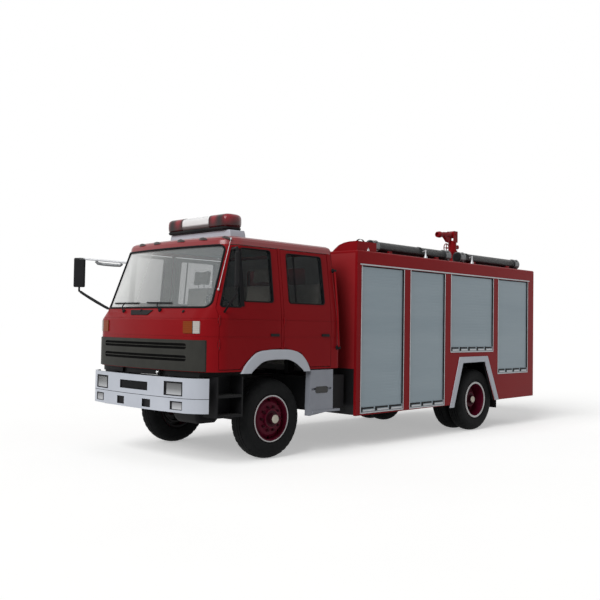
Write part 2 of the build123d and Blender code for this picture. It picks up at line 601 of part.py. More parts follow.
SIDE = [(BODY_FRONT, BODY_LOW), (BODY_REAR, BODY_TAIL_LOW), (BODY_REAR, ROOF_LOW), (BODY_FRONT, ROOF_LOW)]
wall = side_prism(SIDE, BODY_HALF - WALL, BODY_HALF)
wall -= side_prism(WHEEL_HOLE, BODY_HALF - 2 * WALL, BODY_HALF + WALL)
wheel_room = bar((RX, 0, TYRE_R), (RX, REAR_OUTER + TYRE_W / 2 + WHEEL_GAP, TYRE_R), TYRE_R + WHEEL_GAP)
wall -= wheel_room
shutters = None
CURTAIN_BACK = 12
CURTAIN_OUT = BODY_HALF - CURTAIN_BACK
for x0, x1, low in SHUTTERS:
    wall -= box(x0, x1, BODY_HALF - 2 * WALL, BODY_HALF + WALL, low, SHUTTER_TOP)
    section = curtain_section(low, SHUTTER_TOP)
    curtain = front_prism([(CURTAIN_OUT - depth, z) for depth, z in section], x0, x1)
    shutters = pair(curtain) if shutters is None else shutters + pair(curtain)
REAR_SHUTTER = (535 - BODY_HALF, BODY_HALF - 535, 1060, 2470)
y0, y1, z0, z1 = REAR_SHUTTER
section = curtain_section(z0, z1)
back_curtain = side_prism([(BODY_REAR + CURTAIN_BACK + depth, z) for depth, z in section], y0, y1)
parts["body_sides"] = pair(wall)
parts["roller_shutters"] = shutters + back_curtain
parts["rear_arch_trims"] = pair(side_prism(WHEEL_TRIM, BODY_HALF, BODY_HALF + 15) - wheel_room)

IN_HALF = BODY_HALF - WALL
front_wall = box(BODY_FRONT - WALL, BODY_FRONT, -IN_HALF, IN_HALF, BODY_LOW + 10, ROOF_LOW)
rear_wall = box(BODY_REAR, BODY_REAR + WALL, -IN_HALF, IN_HALF, BODY_TAIL_LOW, ROOF_LOW)
rear_wall -= box(BODY_REAR - 10, BODY_REAR + 60, y0, y1, z0, z1)
under = box(BODY_REAR - 10, BODY_FRONT + 10, -LOCKER_IN, LOCKER_IN, 0, DECK_LOW)
parts["body_end_walls"] = (front_wall - under) + (rear_wall - under)

# Deck with side lockers hung beside the frame and wheel wells over the twin wheels
deck_front = BODY_FRONT - WALL
deck_rear = BODY_REAR + WALL
deck = box(deck_rear, deck_front, -LOCKER_IN, LOCKER_IN, DECK_LOW, DECK_TOP)
LOCKERS = [(deck_front, RX + 890, 470), (RX - 610, deck_rear, 500)]
for side in (1, -1):
    a = side * LOCKER_IN
    b = side * (LOCKER_IN + 30)
    edge = side * IN_HALF
    for x0, x1, low in LOCKERS:
        deck += box(x0, x1, a, b, low, DECK_TOP) + box(x0, x1, a, edge, low, low + 25)
    for x in (RX + 890, RX - 640):
        deck += box(x, x + 30, a, edge, 500, 1250)
    deck += box(RX - 640, RX + 920, a, edge, 1220, 1250) + box(RX - 640, RX + 920, a, b, DECK_LOW, 1250)
parts["body_floor"] = deck
parts["water_tank"] = box(RX - 500, BODY_FRONT - 500, -560, 560, DECK_TOP, 2500)

# Roof with a raised walk plate and hose saddles
HOSE_Z = ROOF_TOP + HOSE_R + 19
# Hoses: front X, rear X
HOSES = [(BODY_FRONT - 475, BODY_FRONT - 2400), (BODY_FRONT - 2690, BODY_REAR + 330)]
top = box(BODY_REAR, BODY_FRONT, -BODY_HALF, BODY_HALF, ROOF_LOW, ROOF_TOP)
top = fillet(top.faces().sort_by(Axis.Z)[-1].edges(), 25)
top += box(MON_X + 200, BODY_FRONT - 60, -WALK_HALF, WALK_HALF, ROOF_TOP, ROOF_TOP + 6)
hoses = None
for x0, x1 in HOSES:
    for x in (x0 - 380, x1 + 380):
        saddle = box(x - 40, x + 40, HOSE_Y - 80, HOSE_Y + 80, ROOF_TOP, ROOF_TOP + 45)
        saddle -= bar((x - 60, HOSE_Y, HOSE_Z), (x + 60, HOSE_Y, HOSE_Z), HOSE_R + 0.3)
        top += pair(saddle)
    hose = bar((x0, HOSE_Y, HOSE_Z), (x1, HOSE_Y, HOSE_Z), HOSE_R)
    for a, b in ((x0, x0 - 130), (x1 + 130, x1)):
        hose += bar((a, HOSE_Y, HOSE_Z), (b, HOSE_Y, HOSE_Z), HOSE_R + 13)
    hoses = pair(hose) if hoses is None else hoses + pair(hose)
parts["body_roof"] = top
parts["suction_hoses"] = hoses
# Fairing section: distance in from its outer face, height above the roof
FAIRING = [(455, 0), (405, 40), (335, 85), (245, 112), (145, 124), (0, 124), (0, 0)]
fairing_section = [(FAIRING_OUT - inward, ROOF_TOP + rise) for inward, rise in FAIRING]
fairing = front_prism(fairing_section, BODY_FRONT - 440, BODY_FRONT - 26)
parts["roof_fairings"] = pair(fairing)

# Monitor on the roof, turning on its riser, with a barrel that lifts
RISER_TOP = ROOF_TOP + RISER_RISE
TRUNNION_Z = RISER_TOP + TRUNNION_RISE
DRUM_TOP = TRUNNION_Z - BARREL_BOSS - 49
riser = Pos(MON_X, 0, ROOF_TOP + 10) * Cylinder(120, 20)
riser += turned([(20, 0), (20, 90), (120, 52), (120, 0)], (MON_X, 0, ROOF_TOP), (0, 0, 1))
riser += bar((MON_X, 0, ROOF_TOP), (MON_X, 0, RISER_TOP), 52)
riser += bar((MON_X, 0, RISER_TOP - 25), (MON_X, 0, RISER_TOP), 80)
riser += bar((MON_X, 0, RISER_TOP), (MON_X, 0, RISER_TOP + 60), 30)
parts["monitor_base"] = riser
turret = bar((MON_X, 0, RISER_TOP + 6), (MON_X, 0, DRUM_TOP), 74)
turret += bar((MON_X, 0, RISER_TOP + 6), (MON_X, 0, RISER_TOP + 34), 92)
# Worm gear case with its handwheel
GEAR_Z = RISER_TOP + 100
WHEEL_Y = -190
turret += bar((MON_X - 100, 0, GEAR_Z), (MON_X, 0, GEAR_Z), 34)
turret += bar((MON_X - 90, WHEEL_Y, GEAR_Z), (MON_X - 90, 40, GEAR_Z), 14)
turret += bar((MON_X - 90, -60, GEAR_Z), (MON_X - 90, 60, GEAR_Z), 38)
wheel_rim = Plane(origin=(MON_X - 90, WHEEL_Y, GEAR_Z), z_dir=(0, 1, 0))
turret += wheel_rim * Torus(80, 9) + wheel_rim * Box(160, 14, 10) + wheel_rim * Box(14, 160, 10)
turret -= bar((MON_X, 0, RISER_TOP), (MON_X, 0, RISER_TOP + 70), 30 + PLAY)
for side in (1, -1):
    turret += box(MON_X - 60, MON_X + 60, side * 58, side * 74, DRUM_TOP - 30, TRUNNION_Z + 60)
    turret -= bar((MON_X, side * 40, TRUNNION_Z), (MON_X, side * 100, TRUNNION_Z), 18 + PLAY)
parts["monitor_turret"] = turret - box(MON_X - 100, MON_X + 100, -58, 58, DRUM_TOP + 5, TRUNNION_Z + 200)
BARREL_LEN = 490
BARREL_DROOP = 38
# Barrel section: distance from the trunnion, radius
BARREL = [(0, 0), (0, 50), (300, 46), (388, 44), (394, 56), (430, 58), (BARREL_LEN - 8, 50), (BARREL_LEN, 44),
          (BARREL_LEN, 34), (BARREL_LEN - 40, 30), (BARREL_LEN - 40, 0)]
# Web under the barrel: distance ahead of the trunnion, height from it
BARREL_WEB = [(20, 40), (330, 20), (330, -50), (255, -80), (175, -150), (135, -130), (60, -45)]
barrel = bar((MON_X, -52, TRUNNION_Z), (MON_X, 52, TRUNNION_Z), BARREL_BOSS)
barrel += bar((MON_X, -90, TRUNNION_Z), (MON_X, 90, TRUNNION_Z), 18)
barrel += turned(BARREL, (MON_X, 0, TRUNNION_Z), (BARREL_LEN, 0, -BARREL_DROOP))
barrel += side_prism([(MON_X + x, TRUNNION_Z + z) for x, z in BARREL_WEB], -30, 30)
parts["monitor_barrel"] = barrel

# Rear ladder to the roof
LADDER_X = RX - REAR_OVERHANG + LADDER_R
ladder = None
for y in (LADDER_W - LADDER_OUT, -LADDER_OUT):
    rail = bar((LADDER_X, y, 640), (LADDER_X, y, ROOF_TOP + 60), LADDER_R)
    for z in (760, 1700, 2600):
        rail += bar((LADDER_X, y, z), (BODY_REAR, y, z), 12)
    ladder = rail if ladder is None else ladder + rail
for count in range(7):
    z = 700 + count * 300
    y0 = LADDER_R + PLAY - LADDER_OUT
    y1 = LADDER_W - LADDER_R - PLAY - LADDER_OUT
    ladder += bar((LADDER_X, y0, z), (LADDER_X, y1, z), 13)
parts["rear_ladder"] = ladder

os.makedirs("parts", exist_ok=True)
for old in os.listdir("parts"):
    os.remove(os.path.join("parts", old))
for name, shape in parts.items():
    export_step(shape, os.path.join("parts", name + ".step"))
    print(name, len(shape.solids()), round(shape.volume / 1e6, 2))
print(len(parts), "nodes")
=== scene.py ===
import json
import math

import bmesh
import bpy
from mathutils import Matrix, Vector
from mathutils.bvhtree import BVHTree


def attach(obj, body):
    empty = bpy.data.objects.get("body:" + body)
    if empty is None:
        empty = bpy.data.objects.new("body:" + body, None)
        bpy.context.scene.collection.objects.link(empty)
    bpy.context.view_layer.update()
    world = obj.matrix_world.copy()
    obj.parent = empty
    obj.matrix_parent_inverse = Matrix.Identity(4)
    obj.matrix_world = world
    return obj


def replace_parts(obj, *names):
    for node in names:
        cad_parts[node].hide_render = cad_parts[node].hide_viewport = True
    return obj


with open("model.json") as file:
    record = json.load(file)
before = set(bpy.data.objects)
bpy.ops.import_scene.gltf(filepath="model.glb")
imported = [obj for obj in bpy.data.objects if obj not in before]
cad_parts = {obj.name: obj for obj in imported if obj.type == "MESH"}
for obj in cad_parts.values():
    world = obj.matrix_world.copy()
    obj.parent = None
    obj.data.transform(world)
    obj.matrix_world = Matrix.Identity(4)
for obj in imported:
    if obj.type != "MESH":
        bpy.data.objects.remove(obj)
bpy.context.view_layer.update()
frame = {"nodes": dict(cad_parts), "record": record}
nodes = frame["nodes"]

# Places in metres, the same as in the part's source. X is forward, Y left and Z up
FX = 2.51
WHEELBASE = 4.5
RX = FX - WHEELBASE
NOSE = FX + 1.33
BODY_FRONT = FX - 1.396
BODY_REAR = RX - 1.757
BODY_HALF = 1.235
CAB_HALF = 1.19
CURTAIN_OUT = BODY_HALF - 0.012
HUB_Z = 0.495
FRONT_WHEEL_Y = 0.945
TWIN_OUTER_Y = 1.04
TWIN_INNER_Y = 0.74
TWIN_MID_Y = 0.89
HOSE_Y = BODY_HALF - 0.185
HOSE_Z = 2.795
MONITOR_X = BODY_REAR + 0.73
BAR_X = FX + 0.28
SEAT_Y = 0.625
SIDES = ((1, "left"), (-1, "right"))
DOORS = ["door_front_left", "door_rear_left", "door_front_right", "door_rear_right"]

# Shutters of one side: front X, rear X, low edge
SHUTTER_POST = 0.17
FIRST = BODY_FRONT - 0.104
SECOND_END = RX + 1.02
FIRST_SPAN = (FIRST - SECOND_END - SHUTTER_POST) * 0.52
LONG_LOW = 0.485
SHUTTERS = [
    (FIRST, FIRST - FIRST_SPAN, LONG_LOW),
    (FIRST - FIRST_SPAN - SHUTTER_POST, SECOND_END, LONG_LOW),
    (RX + 0.84, RX - 0.39, 1.29),
    (RX - 0.56, BODY_REAR + 0.217, 0.915),
]
SHUTTER_TOP = 2.49

# Rays that look for a surface start this far out, and these are their ways
FAR = 3
BACKWARD = (-1, 0, 0)
FORWARD = (1, 0, 0)
UPWARD = (0, 0, 1)


# Material helpers
def tree_of(name):
    mat = bpy.data.materials.new(name)
    mat.use_nodes = True
    tree = mat.node_tree
    tree.nodes.clear()
    out = tree.nodes.new("ShaderNodeOutputMaterial")
    bsdf = tree.nodes.new("ShaderNodeBsdfPrincipled")
    tree.links.new(bsdf.outputs[0], out.inputs[0])
    return mat, tree, bsdf


def object_coords(tree):
    return tree.nodes.new("ShaderNodeTexCoord").outputs["Object"]


def noise(tree, scale, stretch=(1, 1, 1)):
    place = tree.nodes.new("ShaderNodeMapping")
    place.inputs["Scale"].default_value = stretch
    tree.links.new(object_coords(tree), place.inputs["Vector"])
    tex = tree.nodes.new("ShaderNodeTexNoise")
    tex.inputs["Scale"].default_value = scale
    tex.inputs["Detail"].default_value = 3.0
    tex.inputs["Roughness"].default_value = 0.55
    tree.links.new(place.outputs[0], tex.inputs["Vector"])
    return tex.outputs[0]


def wave(tree, direction, scale, distortion=0.0):
    tex = tree.nodes.new("ShaderNodeTexWave")
    tex.bands_direction = direction
    tex.inputs["Scale"].default_value = scale
    tex.inputs["Distortion"].default_value = distortion
    tree.links.new(object_coords(tree), tex.inputs["Vector"])
    return tex.outputs[1]


def combine(tree, operation, *sockets):
    node = tree.nodes.new("ShaderNodeMath")
    node.operation = operation
    for socket, value in zip(node.inputs, sockets):
        tree.links.new(value, socket)
    return node.outputs[0]


def part_of(tree, axis):
    split = tree.nodes.new("ShaderNodeSeparateXYZ")
    tree.links.new(object_coords(tree), split.inputs[0])
    return split.outputs[axis]


def ranged(tree, value, low=0.0, high=1.0, end_low=0.0, end_high=1.0):
    node = tree.nodes.new("ShaderNodeMapRange")
    for key, number in (("From Min", low), ("From Max", high), ("To Min", end_low), ("To Max", end_high)):
        node.inputs[key].default_value = number
    tree.links.new(value, node.inputs["Value"])
    return node.outputs[0]


def along(tree, axis, low, high, end_low=0.0, end_high=1.0):
    return ranged(tree, part_of(tree, axis), low, high, end_low, end_high)


def cells(tree, scale):
    tex = tree.nodes.new("ShaderNodeTexVoronoi")
    tex.inputs["Scale"].default_value = scale
    tex.inputs["Randomness"].default_value = 0.0
    tree.links.new(object_coords(tree), tex.inputs["Vector"])
    return tex.outputs["Distance"]


def stops(tree, factor, places, smooth=True):
    ramp = tree.nodes.new("ShaderNodeValToRGB")
    line = ramp.color_ramp
    line.interpolation = "LINEAR" if smooth else "CONSTANT"
    while len(line.elements) < len(places):
        line.elements.new(0.5)
    for element, (at, colour) in zip(line.elements, places):
        element.position = at
        element.color = (*colour, 1)
    tree.links.new(factor, ramp.inputs[0])
    return ramp.outputs[0]


def mottle(low, high):
    return [(0.3, low), (0.7, high)]


def toned(name, factor, places, settings, bump=None, smooth=True):
    # A material whose colour follows a factor of its tree through the stops. Bump: height, strength, distance
    mat, tree, bsdf = tree_of(name)
    tree.links.new(stops(tree, factor(tree), places, smooth), bsdf.inputs["Base Color"])
    for key, value in settings.items():
        bsdf.inputs[key].default_value = value
    if bump:
        node = tree.nodes.new("ShaderNodeBump")
        node.inputs["Strength"].default_value = bump[1]
        node.inputs["Distance"].default_value = bump[2]
        tree.links.new(bump[0](tree), node.inputs["Height"])
        tree.links.new(node.outputs[0], bsdf.inputs["Normal"])
    return mat


def drive(mat, key, socket):
    mat.node_tree.links.new(socket, mat.node_tree.nodes["Principled BSDF"].inputs[key])


def surface(name, low, high, rough=0.4, metal=0.0, scale=3.0, coat=0.0, bump=0.0, bump_scale=60.0,
            spec=0.5, stretch=(1, 1, 1), tint=(1, 1, 1)):
    # Paint, metal or rubber with mottled colour and roughness, and grain where bump is given
    mat = toned(name, lambda t: noise(t, scale, stretch), mottle(low, high), {
        "Metallic": metal, "Specular IOR Level": spec, "Specular Tint": (*tint, 1), "Coat Weight": coat,
        "Coat Roughness": 0.06}, (lambda t: noise(t, bump_scale), bump, 0.002) if bump else None)
    tree = mat.node_tree
    drive(mat, "Roughness", ranged(tree, noise(tree, scale * 4, stretch), end_low=max(0.02, rough - 0.05),
                                   end_high=min(1.0, rough + 0.06)))
    return mat


# Paints, metals and rubber
RED = surface("red_paint", (0.214, 0.005, 0.008), (0.234, 0.007, 0.010), 0.3, scale=1.5, spec=0.1,
              tint=(1, 0.3, 0.3), bump=0.04, bump_scale=300)
WHITE = surface("white_paint", (0.43, 0.455, 0.51), (0.49, 0.515, 0.57), 0.35, scale=2, spec=0.25,
                bump=0.04, bump_scale=300)
FENDER = surface("fender_paint", (0.25, 0.265, 0.305), (0.29, 0.305, 0.345), 0.4, scale=2.5, spec=0.2)
BLACK = surface("black_paint", (0.007, 0.007, 0.008), (0.013, 0.013, 0.014), 0.5, scale=4, spec=0.1)
SEAL = surface("rubber_seal", (0.004, 0.004, 0.005), (0.009, 0.009, 0.010), 0.6, scale=15, spec=0.08)
# Near-black painted shade for the insides of the grille slots
SLOT = surface("slot_black", (0.002, 0.002, 0.002), (0.005, 0.005, 0.005), 0.8, scale=8, spec=0.03)
ROOF_RED = surface("roof_red", (0.214, 0.006, 0.010), (0.234, 0.008, 0.012), 0.22, scale=1.5, spec=0.6)
GREY = surface("grey_trim", (0.028, 0.028, 0.025), (0.036, 0.036, 0.032), 0.5, scale=5, spec=0.08)
MAROON = surface("maroon_paint", (0.075, 0.003, 0.013), (0.095, 0.004, 0.018), 0.45, scale=3, spec=0.1)
DEEP_MAROON = surface("hub_maroon", (0.026, 0.002, 0.006), (0.036, 0.003, 0.008), 0.5, scale=6, spec=0.1)
STEEL = surface("cast_steel", (0.018, 0.018, 0.018), (0.03, 0.03, 0.03), 0.6, metal=0.2, scale=6, bump=0.3)
ALU = surface("aluminium", (0.36, 0.38, 0.40), (0.44, 0.46, 0.48), 0.38, metal=0.5, scale=2,
              stretch=(1, 1, 6))
SILVER = surface("silver_paint", (0.46, 0.47, 0.49), (0.54, 0.55, 0.57), 0.34, metal=0.3, scale=6)
COUPLING = surface("coupling", (0.10, 0.105, 0.11), (0.16, 0.165, 0.17), 0.3, metal=0.7, scale=20)
RING = surface("rim_ring", (0.42, 0.415, 0.42), (0.50, 0.495, 0.50), 0.4, metal=0.2, scale=12)
CHROME = surface("chrome", (0.60, 0.61, 0.62), (0.68, 0.69, 0.70), 0.12, metal=1.0, scale=8)
CREAM = surface("cream_paint", (0.50, 0.46, 0.38), (0.58, 0.54, 0.46), 0.45, scale=14, spec=0.3)
TRIM = surface("cab_trim", (0.40, 0.39, 0.37), (0.48, 0.47, 0.45), 0.8, scale=8, bump=0.3, bump_scale=200,
               spec=0.2)
TAIL_RED = surface("tail_lens", (0.22, 0.01, 0.012), (0.30, 0.016, 0.018), 0.15, coat=0.6, scale=30)
DARK_LENS = surface("marker_lens", (0.018, 0.010, 0.010), (0.04, 0.02, 0.018), 0.2, coat=0.4, scale=30)
RUBBER = surface("tyre_rubber", (0.0065, 0.007, 0.0075), (0.012, 0.0125, 0.013), 0.75, scale=9, bump=0.35,
                 bump_scale=180, spec=0.1)

# Woven seat cloth: two crossing sets of threads
CLOTH = toned(
    "seat_cloth", lambda t: noise(t, 25), mottle((0.46, 0.43, 0.37), (0.58, 0.55, 0.48)),
    {"Roughness": 0.9, "Sheen Weight": 0.25},
    (lambda t: combine(t, "MULTIPLY", wave(t, "Y", 180), wave(t, "DIAGONAL", 180)), 0.5, 0.0015))
# End walls of the body: black below, red above
WALL = toned(
    "end_wall", lambda t: along(t, 2, 0.98, 1.18),
    [(0.0, (0.012, 0.012, 0.013)), (0.5, (0.26, 0.016, 0.019))],
    {"Roughness": 0.35, "Specular IOR Level": 0.25}, (lambda t: noise(t, 8), 0.1, 0.002), smooth=False)
# Corrugated suction hose
HOSE = toned(
    "hose", lambda t: noise(t, 12), mottle((0.007, 0.008, 0.009), (0.014, 0.015, 0.017)),
    {"Roughness": 0.25, "Specular IOR Level": 0.3}, (lambda t: wave(t, "X", 13.0), 0.9, 0.006))
# Shutter slats in painted aluminium
CURTAIN = toned(
    "shutter", lambda t: noise(t, 1.2, (0.3, 1, 3)), mottle((0.225, 0.285, 0.325), (0.26, 0.32, 0.36)),
    {"Metallic": 0.2, "Roughness": 0.42})
# Chequer plate on the body roof
PLATE = toned(
    "chequer_plate", lambda t: noise(t, 8), mottle((0.34, 0.35, 0.36), (0.44, 0.45, 0.46)),
    {"Metallic": 0.6, "Roughness": 0.4}, (lambda t: cells(t, 32), 0.6, 0.004))
# Fluted lamp glass, fog lamps under head lamps: each lamp is dark at the top as painted shade of its pocket,
# and bright low down as a painted reflection of its bowl
LAMP = toned(
    "lamp_glass", lambda t: along(t, 2, 0.66, 0.985), [
        (0.0, (0.50, 0.51, 0.53)), (0.30, (0.10, 0.10, 0.11)), (0.50, (0.46, 0.47, 0.49)),
        (0.74, (0.14, 0.145, 0.15)), (1.0, (0.03, 0.03, 0.035))],
    {"Roughness": 0.14, "Coat Weight": 0.3}, (lambda t: wave(t, "Y", 16.0), 0.5, 0.004))
# Turn lamps: amber towards the middle of the cab, clear outside
TURN = toned(
    "turn_lamp", lambda t: combine(t, "ABSOLUTE", part_of(t, 1)),
    [(0.0, (0.20, 0.038, 0.005)), (0.935, (0.03, 0.03, 0.03)), (0.945, (0.42, 0.40, 0.37))],
    {"Roughness": 0.3, "Specular IOR Level": 0.1}, (lambda t: wave(t, "Z", 14.0), 0.5, 0.004), smooth=False)
# Red lenses of the light bar: bands for the bowls behind, with painted shade that darkens them low down
DOME = toned(
    "red_dome", lambda t: combine(t, "MULTIPLY", wave(t, "Y", 1.3, 1.2), along(t, 2, 2.86, 3.03)),
    [(0.0, (0.010, 0.002, 0.003)), (0.35, (0.075, 0.003, 0.006)), (0.9, (0.26, 0.008, 0.018))],
    {"Roughness": 0.12, "Specular IOR Level": 0.35})
# Middle lens of the light bar: dark low down, and white above as painted light of the bright background seen
# through the clear lens
CLEAR = toned(
    "clear_dome", lambda t: along(t, 2, 2.865, 3.05), [
        (0.0, (0.08, 0.064, 0.064)), (0.34, (0.14, 0.112, 0.112)), (0.46, (0.86, 0.86, 0.86)),
        (1.0, (0.93, 0.93, 0.93))], {"Roughness": 0.12, "Alpha": 0.86})
# Dark side glass
GLASS = toned(
    "side_glass", lambda t: noise(t, 2.0), mottle((0.012, 0.016, 0.018), (0.01344, 0.01792, 0.02016)),
    {"Roughness": 0.05, "Alpha": 0.42, "Specular IOR Level": 0.15})
# Windscreen with a painted sky reflection: paler and more opaque towards the right
SCREEN = toned(
    "windscreen", lambda t: along(t, 1, -1.0, 1.0), [
        (0.0, (0.92, 0.93, 0.92)), (0.3, (0.70, 0.71, 0.70)), (0.55, (0.42, 0.44, 0.44)),
        (1.0, (0.38, 0.41, 0.42))], {"Roughness": 0.08, "Specular IOR Level": 0.06})
drive(SCREEN, "Alpha", along(SCREEN.node_tree, 1, -1.0, -0.2, 0.70, 0.26))

SLOTS = {
    "red_paint": RED, "white_paint": WHITE, "black_steel": BLACK, "grey_trim": GREY, "maroon_paint": MAROON,
    "tyre": RUBBER, "glass": GLASS, "lamp": LAMP, "aluminium": ALU, "hose_rubber": HOSE, "seat_cloth": CLOTH,
    "cast": STEEL,
}
OWN = {
    "roller_shutters": CURTAIN, "cab_glass": SCREEN, "cab_lamps": TURN, "body_end_walls": WALL,
    "fender_panels": FENDER, "cab_roof": ROOF_RED,
}
for entry in frame["record"]["subparts"]:
    mesh = nodes[entry["node"]].data
    mesh.materials.clear()
    mesh.materials.append(OWN.get(entry["node"], SLOTS[entry["material_slot"]]))


# Colours that change over one CAD node, by the centre and normal of each face
def paint(name, mat, test):
    mesh = nodes[name].data
    index = len(mesh.materials)
    mesh.materials.append(mat)
    for face in mesh.polygons:
        if test(face.center, face.normal):
            face.material_index = index


# Window cuts of the doors, from the front axle: rear X limit, front X limit, middle
REVEALS = {"front": [(0.63, 0.93, 0.75), (0.10, 0.60, 0.35)], "rear": [(-0.83, -0.155, -0.5)]}
REVEAL_MID_Z = 2.22


def faces_pane(c, n, pane):
    low, high, mid = pane
    return low < c.x - FX < high and (FX + mid - c.x) * n.x + (REVEAL_MID_Z - c.z) * n.z > 0


def reveal(panes):
    # Faces of a window cut look towards the middle of their pane
    return lambda c, n: abs(n.y) < 0.6 and 1.84 < c.z < 2.58 and any(faces_pane(c, n, pane) for pane in panes)


def lining(c, n):
    return c.y * n.y < -0.3 and abs(c.y) < 1.16


def paint_cab():
    for name in DOORS:
        paint(name, TRIM, lining)
        # Door handles, window cuts, wheel arch
        paint(name, BLACK, lambda c, n: abs(c.y) > CAB_HALF + 0.002 and 1.51 < c.z < 1.552)
        paint(name, BLACK, reveal(REVEALS[name.split("_")[1]]))
        paint(name, BLACK, lambda c, n: c.z < 1.34 and c.y * n.y < 0.3 * abs(c.y) and abs(c.x - FX) < 0.7)
    paint("cab_sides", TRIM, lining)
    paint("cab_sides", BLACK, lambda c, n: c.z < 1.37 and c.y * n.y < 0.3 * abs(c.y))
    paint("cab_roof", TRIM, lambda c, n: n.z < -0.3 and abs(c.y) < 1.08)
    paint("cab_back", TRIM, lambda c, n: n.x > 0.5)
    paint("cab_back", BLACK, lambda c, n: c.z < 1.2 and n.x > -0.5)
    paint("cab_front", TRIM, lambda c, n: n.x < -0.3)
    paint("cab_glass", GLASS, lambda c, n: c.x < FX)
    paint("cab_floor", BLACK, lambda c, n: n.z < 0.5)
    # Faces inside the grille slots take the near-black slot material as painted shade
    paint("grille", SLOT, lambda c, n: abs(c.y) < 0.851 and any(
        low < c.z < top and abs(c.z - (low + top) / 2) > 0.0045
        for low, top in ((1.218, 1.286), (1.358, 1.426))))
    paint("mirror_right", SILVER, lambda c, n: c.z > 2.44 and abs(c.y) < 1.47)


def paint_bumper():
    # Number plate pocket, tow eyes, joint line, lamp pockets, back
    paint("bumper", SEAL, lambda c, n: abs(c.y) < 0.291 and 0.85 < c.z < 0.957 and c.x < NOSE - 0.006)
    paint("bumper", BLACK, lambda c, n: 0.18 < abs(c.y) < 0.36 and 0.655 < c.z < 0.755 and c.x < NOSE - 0.008)
    paint("bumper", BLACK, lambda c, n: abs(c.z - 0.796) < 0.004)
    paint("bumper", BLACK, lambda c, n: 0.585 < abs(c.y) < 0.905 and 0.655 < c.z < 0.99
          and (abs(n.y) > 0.9 or abs(n.z) > 0.9) and c.x > FX + 1.1)
    paint("bumper", BLACK, lambda c, n: n.x < -0.3)


def paint_body():
    paint("body_sides", BLACK, lambda c, n: abs(c.x - RX) < 0.8 and c.z < 1.3 and c.y * n.y < 0.5 * abs(c.y))
    paint("road_lamps", TAIL_RED, lambda c, n: c.x < 0)
    paint("suction_hoses", COUPLING,
          lambda c, n: math.hypot(abs(c.y) - HOSE_Y, c.z - HOSE_Z) > 0.0775)
    paint("body_roof", PLATE, lambda c, n: n.z > 0.9 and c.z > 2.7055)
    paint("cab_steps", STEEL, lambda c, n: n.z > 0.9)


def paint_rims():
    for start, x in (("rim_front_", FX), ("rims_rear_", RX)):
        for side, label in SIDES:
            paint(start + label, BLACK, lambda c, n: c.y * n.y < -0.3 * abs(c.y))
            paint(start + label, DEEP_MAROON,
                  lambda c, n: math.hypot(c.x - x, c.z - HUB_Z) < 0.103 and c.y * n.y > 0)


paint_cab()
paint_bumper()
paint_body()
paint_rims()


# Pieces added to the frame
def spots(*points):
    return [Vector(p) for p in points]


class Shape:
    def __init__(self):
        self.bm = bmesh.new()

    def box(self, x0, x1, y0, y1, z0, z1, turn=None):
        corners = spots(*((x, y, z) for z in (z0, z1) for y in (y0, y1) for x in (x0, x1)))
        if turn:
            corners = [turn @ c for c in corners]
        v = [self.bm.verts.new(c) for c in corners]
        for f in ((0, 2, 3, 1), (4, 5, 7, 6), (0, 1, 5, 4), (2, 6, 7, 3), (0, 4, 6, 2), (1, 3, 7, 5)):
            self.bm.faces.new([v[i] for i in f])

    def loft(self, rings, loop=False, closed=True, caps=True):
        rows = [[self.bm.verts.new(p) for p in ring] for ring in rings]
        count = len(rows[0])
        pairs = list(zip(rows, rows[1:])) + ([(rows[-1], rows[0])] if loop else [])
        for a, b in pairs:
            for i in range(count if closed else count - 1):
                j = (i + 1) % count
                self.bm.faces.new([a[i], a[j], b[j], b[i]])
        if caps and closed and not loop:
            self.bm.faces.new(rows[0][::-1])
            self.bm.faces.new(rows[-1])

    def tube(self, points, radius, sides=10, loop=False):
        points = spots(*points)
        rings = []
        last = None
        for i, p in enumerate(points):
            before = points[i - 1] if i or loop else p
            after = points[(i + 1) % len(points)] if i + 1 < len(points) or loop else p
            ahead = (after - before).normalized()
            if last is None:
                last = ahead.orthogonal().normalized()
            last = (last - ahead * last.dot(ahead)).normalized()
            other = ahead.cross(last)
            rings.append([p + radius * (math.cos(t) * last + math.sin(t) * other)
                          for t in (2 * math.pi * k / sides for k in range(sides))])
        self.loft(rings, loop=loop)

    def turned(self, profile, centre, axis, sides=64, closed=True):
        # The profile gives places along the axis and radii
        axis = Vector(axis).normalized()
        one = axis.orthogonal().normalized()
        two = axis.cross(one)
        rings = []
        for k in range(sides):
            t = 2 * math.pi * k / sides
            out = math.cos(t) * one + math.sin(t) * two
            rings.append([Vector(centre) + axis * d + out * r for d, r in profile])
        self.loft(rings, loop=True, closed=closed, caps=False)

    def knob(self, profile, centre, axis, sides):
        # Turned from a profile that starts and ends on the axis
        self.turned(profile, centre, axis, sides, closed=False)

    def slab(self, outline, thick):
        outline = spots(*outline)
        self.loft([outline, [p + Vector(thick) for p in outline]])

    def emit(self, name, mat, body, slot, bevel=0.0, angle=40):
        bmesh.ops.remove_doubles(self.bm, verts=self.bm.verts, dist=1e-6)
        bmesh.ops.recalc_face_normals(self.bm, faces=self.bm.faces)
        mesh = bpy.data.meshes.new(name)
        self.bm.to_mesh(mesh)
        self.bm.free()
        obj = bpy.data.objects.new(name, mesh)
        bpy.context.scene.collection.objects.link(obj)
        mesh.materials.append(mat)
        for face in mesh.polygons:
            face.use_smooth = True
        mesh.set_sharp_from_angle(angle=math.radians(angle))
        if bevel:
            mod = obj.modifiers.new("bevel", "BEVEL")
            mod.width = bevel
            mod.segments = 2
            mod.limit_method = "ANGLE"
        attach(obj, body)
        return obj


